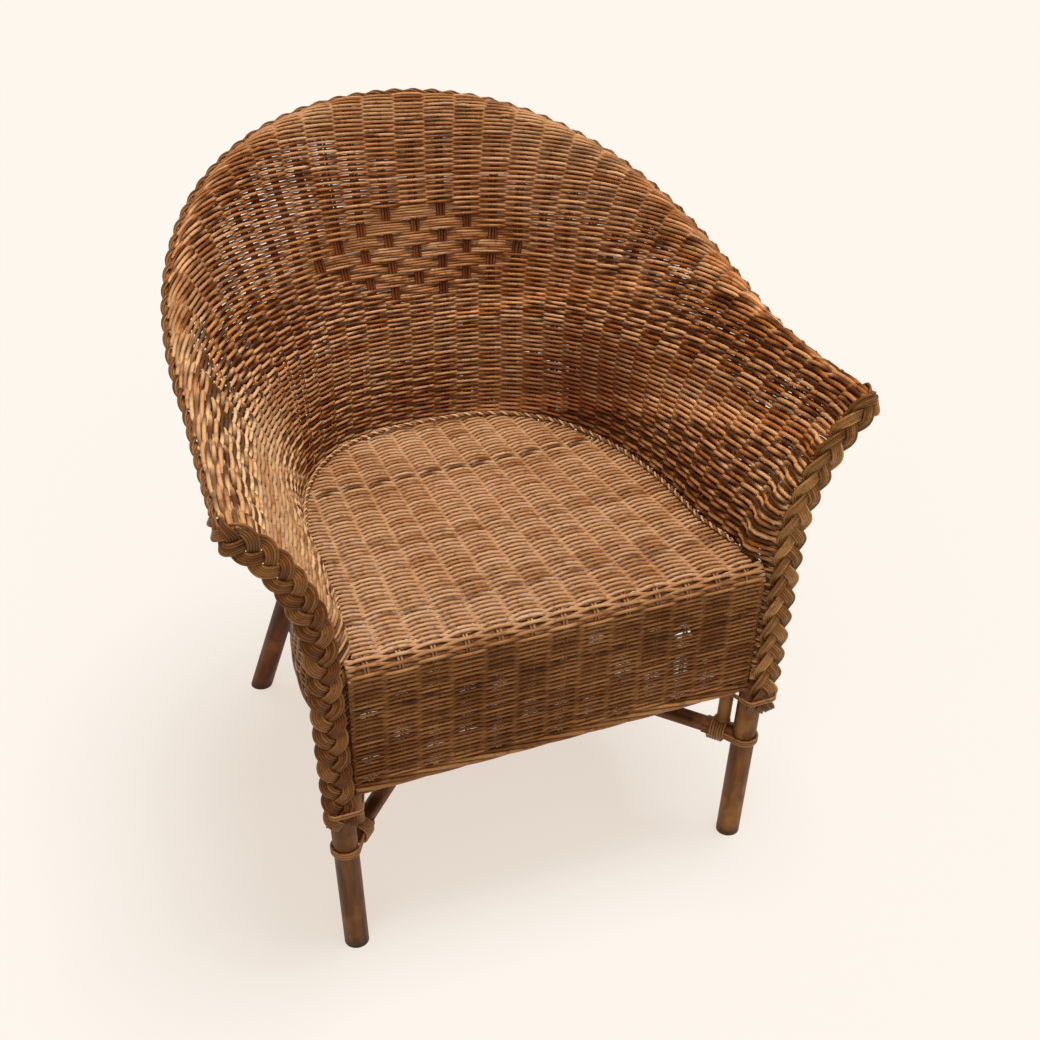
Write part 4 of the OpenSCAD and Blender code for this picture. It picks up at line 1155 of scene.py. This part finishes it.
# Light gives the share SHADED of the floor's brightness, red, green and blue, and so
# the shadow's depth. Its own glow gives the rest, mixed in by GLOW_SHARE.
GLOW_SHARE = 0.62
floor_glow_colour = PAPER_LIGHT * (1 - SHADED) / GLOW_SHARE
floor_lit_colour = PAPER_LIGHT * SHADED / (1 - GLOW_SHARE) / FLOOR_LIGHT
floor_work = bmesh.new()
bmesh.ops.create_grid(floor_work, x_segments=1, y_segments=1, size=30)
floor_mesh = bpy.data.meshes.new("floor")
floor_work.to_mesh(floor_mesh)
floor_work.free()
floor = shown("floor", floor_mesh)
floor_paint = bpy.data.materials.new("floor_paper")
floor_paint.use_nodes = True
floor_nodes = floor_paint.node_tree.nodes
floor_nodes.clear()
kinds = ("OutputMaterial", "MixShader", "Emission", "BsdfDiffuse", "LightPath", "Math")
floor_out, floor_mix, floor_glow, floor_matt, floor_path, floor_share = (
    floor_nodes.new("ShaderNode" + kind) for kind in kinds
)
floor_glow.inputs["Color"].default_value = (*floor_glow_colour.tolist(), 1.0)
floor_glow.inputs["Strength"].default_value = 1.0
floor_matt.inputs["Color"].default_value = (*floor_lit_colour.tolist(), 1.0)
floor_share.operation = "MULTIPLY"
floor_share.inputs[1].default_value = GLOW_SHARE
floor_links = floor_paint.node_tree.links
floor_seen = floor_path.outputs["Is Camera Ray"]
for ray in ("Is Glossy Ray", "Is Transmission Ray"):
    either = floor_nodes.new("ShaderNodeMath")
    either.operation = "MAXIMUM"
    floor_links.new(floor_seen, either.inputs[0])
    floor_links.new(floor_path.outputs[ray], either.inputs[1])
    floor_seen = either.outputs[0]
for given, taken in (
    (floor_seen, floor_share.inputs[0]),
    (floor_share.outputs[0], floor_mix.inputs[0]),
    (floor_matt.outputs[0], floor_mix.inputs[1]),
    (floor_glow.outputs[0], floor_mix.inputs[2]),
    (floor_mix.outputs[0], floor_out.inputs[0]),
):
    floor_links.new(given, taken)
floor_mesh.materials.append(floor_paint)

world = bpy.data.worlds.new("studio")
bpy.context.scene.world = world
world.use_nodes = True
sky = world.node_tree.nodes["Background"]
sky.inputs["Color"].default_value = (*SKY_LIGHT.tolist(), 1.0)
sky.inputs["Strength"].default_value = 1.0

for lamp_name, (way, power, spread) in LAMPS.items():
    lamp_data = bpy.data.lights.new(lamp_name, "SUN")
    lamp_data.energy = power
    lamp_data.angle = spread
    lamp_data.color = WARM_WHITE.tolist()
    lamp = shown(lamp_name, lamp_data)
    lamp.rotation_euler = way.to_track_quat("Z", "Y").to_euler()

# The camera as fitted to the photo, turned to look down at the chair from the left
camera_data = bpy.data.cameras.new("camera")
camera_data.lens = 55.49
camera_data.sensor_width = 36
camera = shown("camera", camera_data)
azimuth, elevation = np.radians(-22.392), np.radians(32.21)
level = np.cos(elevation)
back = Vector((np.sin(azimuth) * level, -np.cos(azimuth) * level, np.sin(elevation)))
camera.location = (-0.542965, -1.481144, 1.337857)
camera.rotation_euler = back.to_track_quat("Z", "Y").to_euler()
bpy.context.scene.camera = camera
bpy.context.scene.view_settings.view_transform = "Standard"
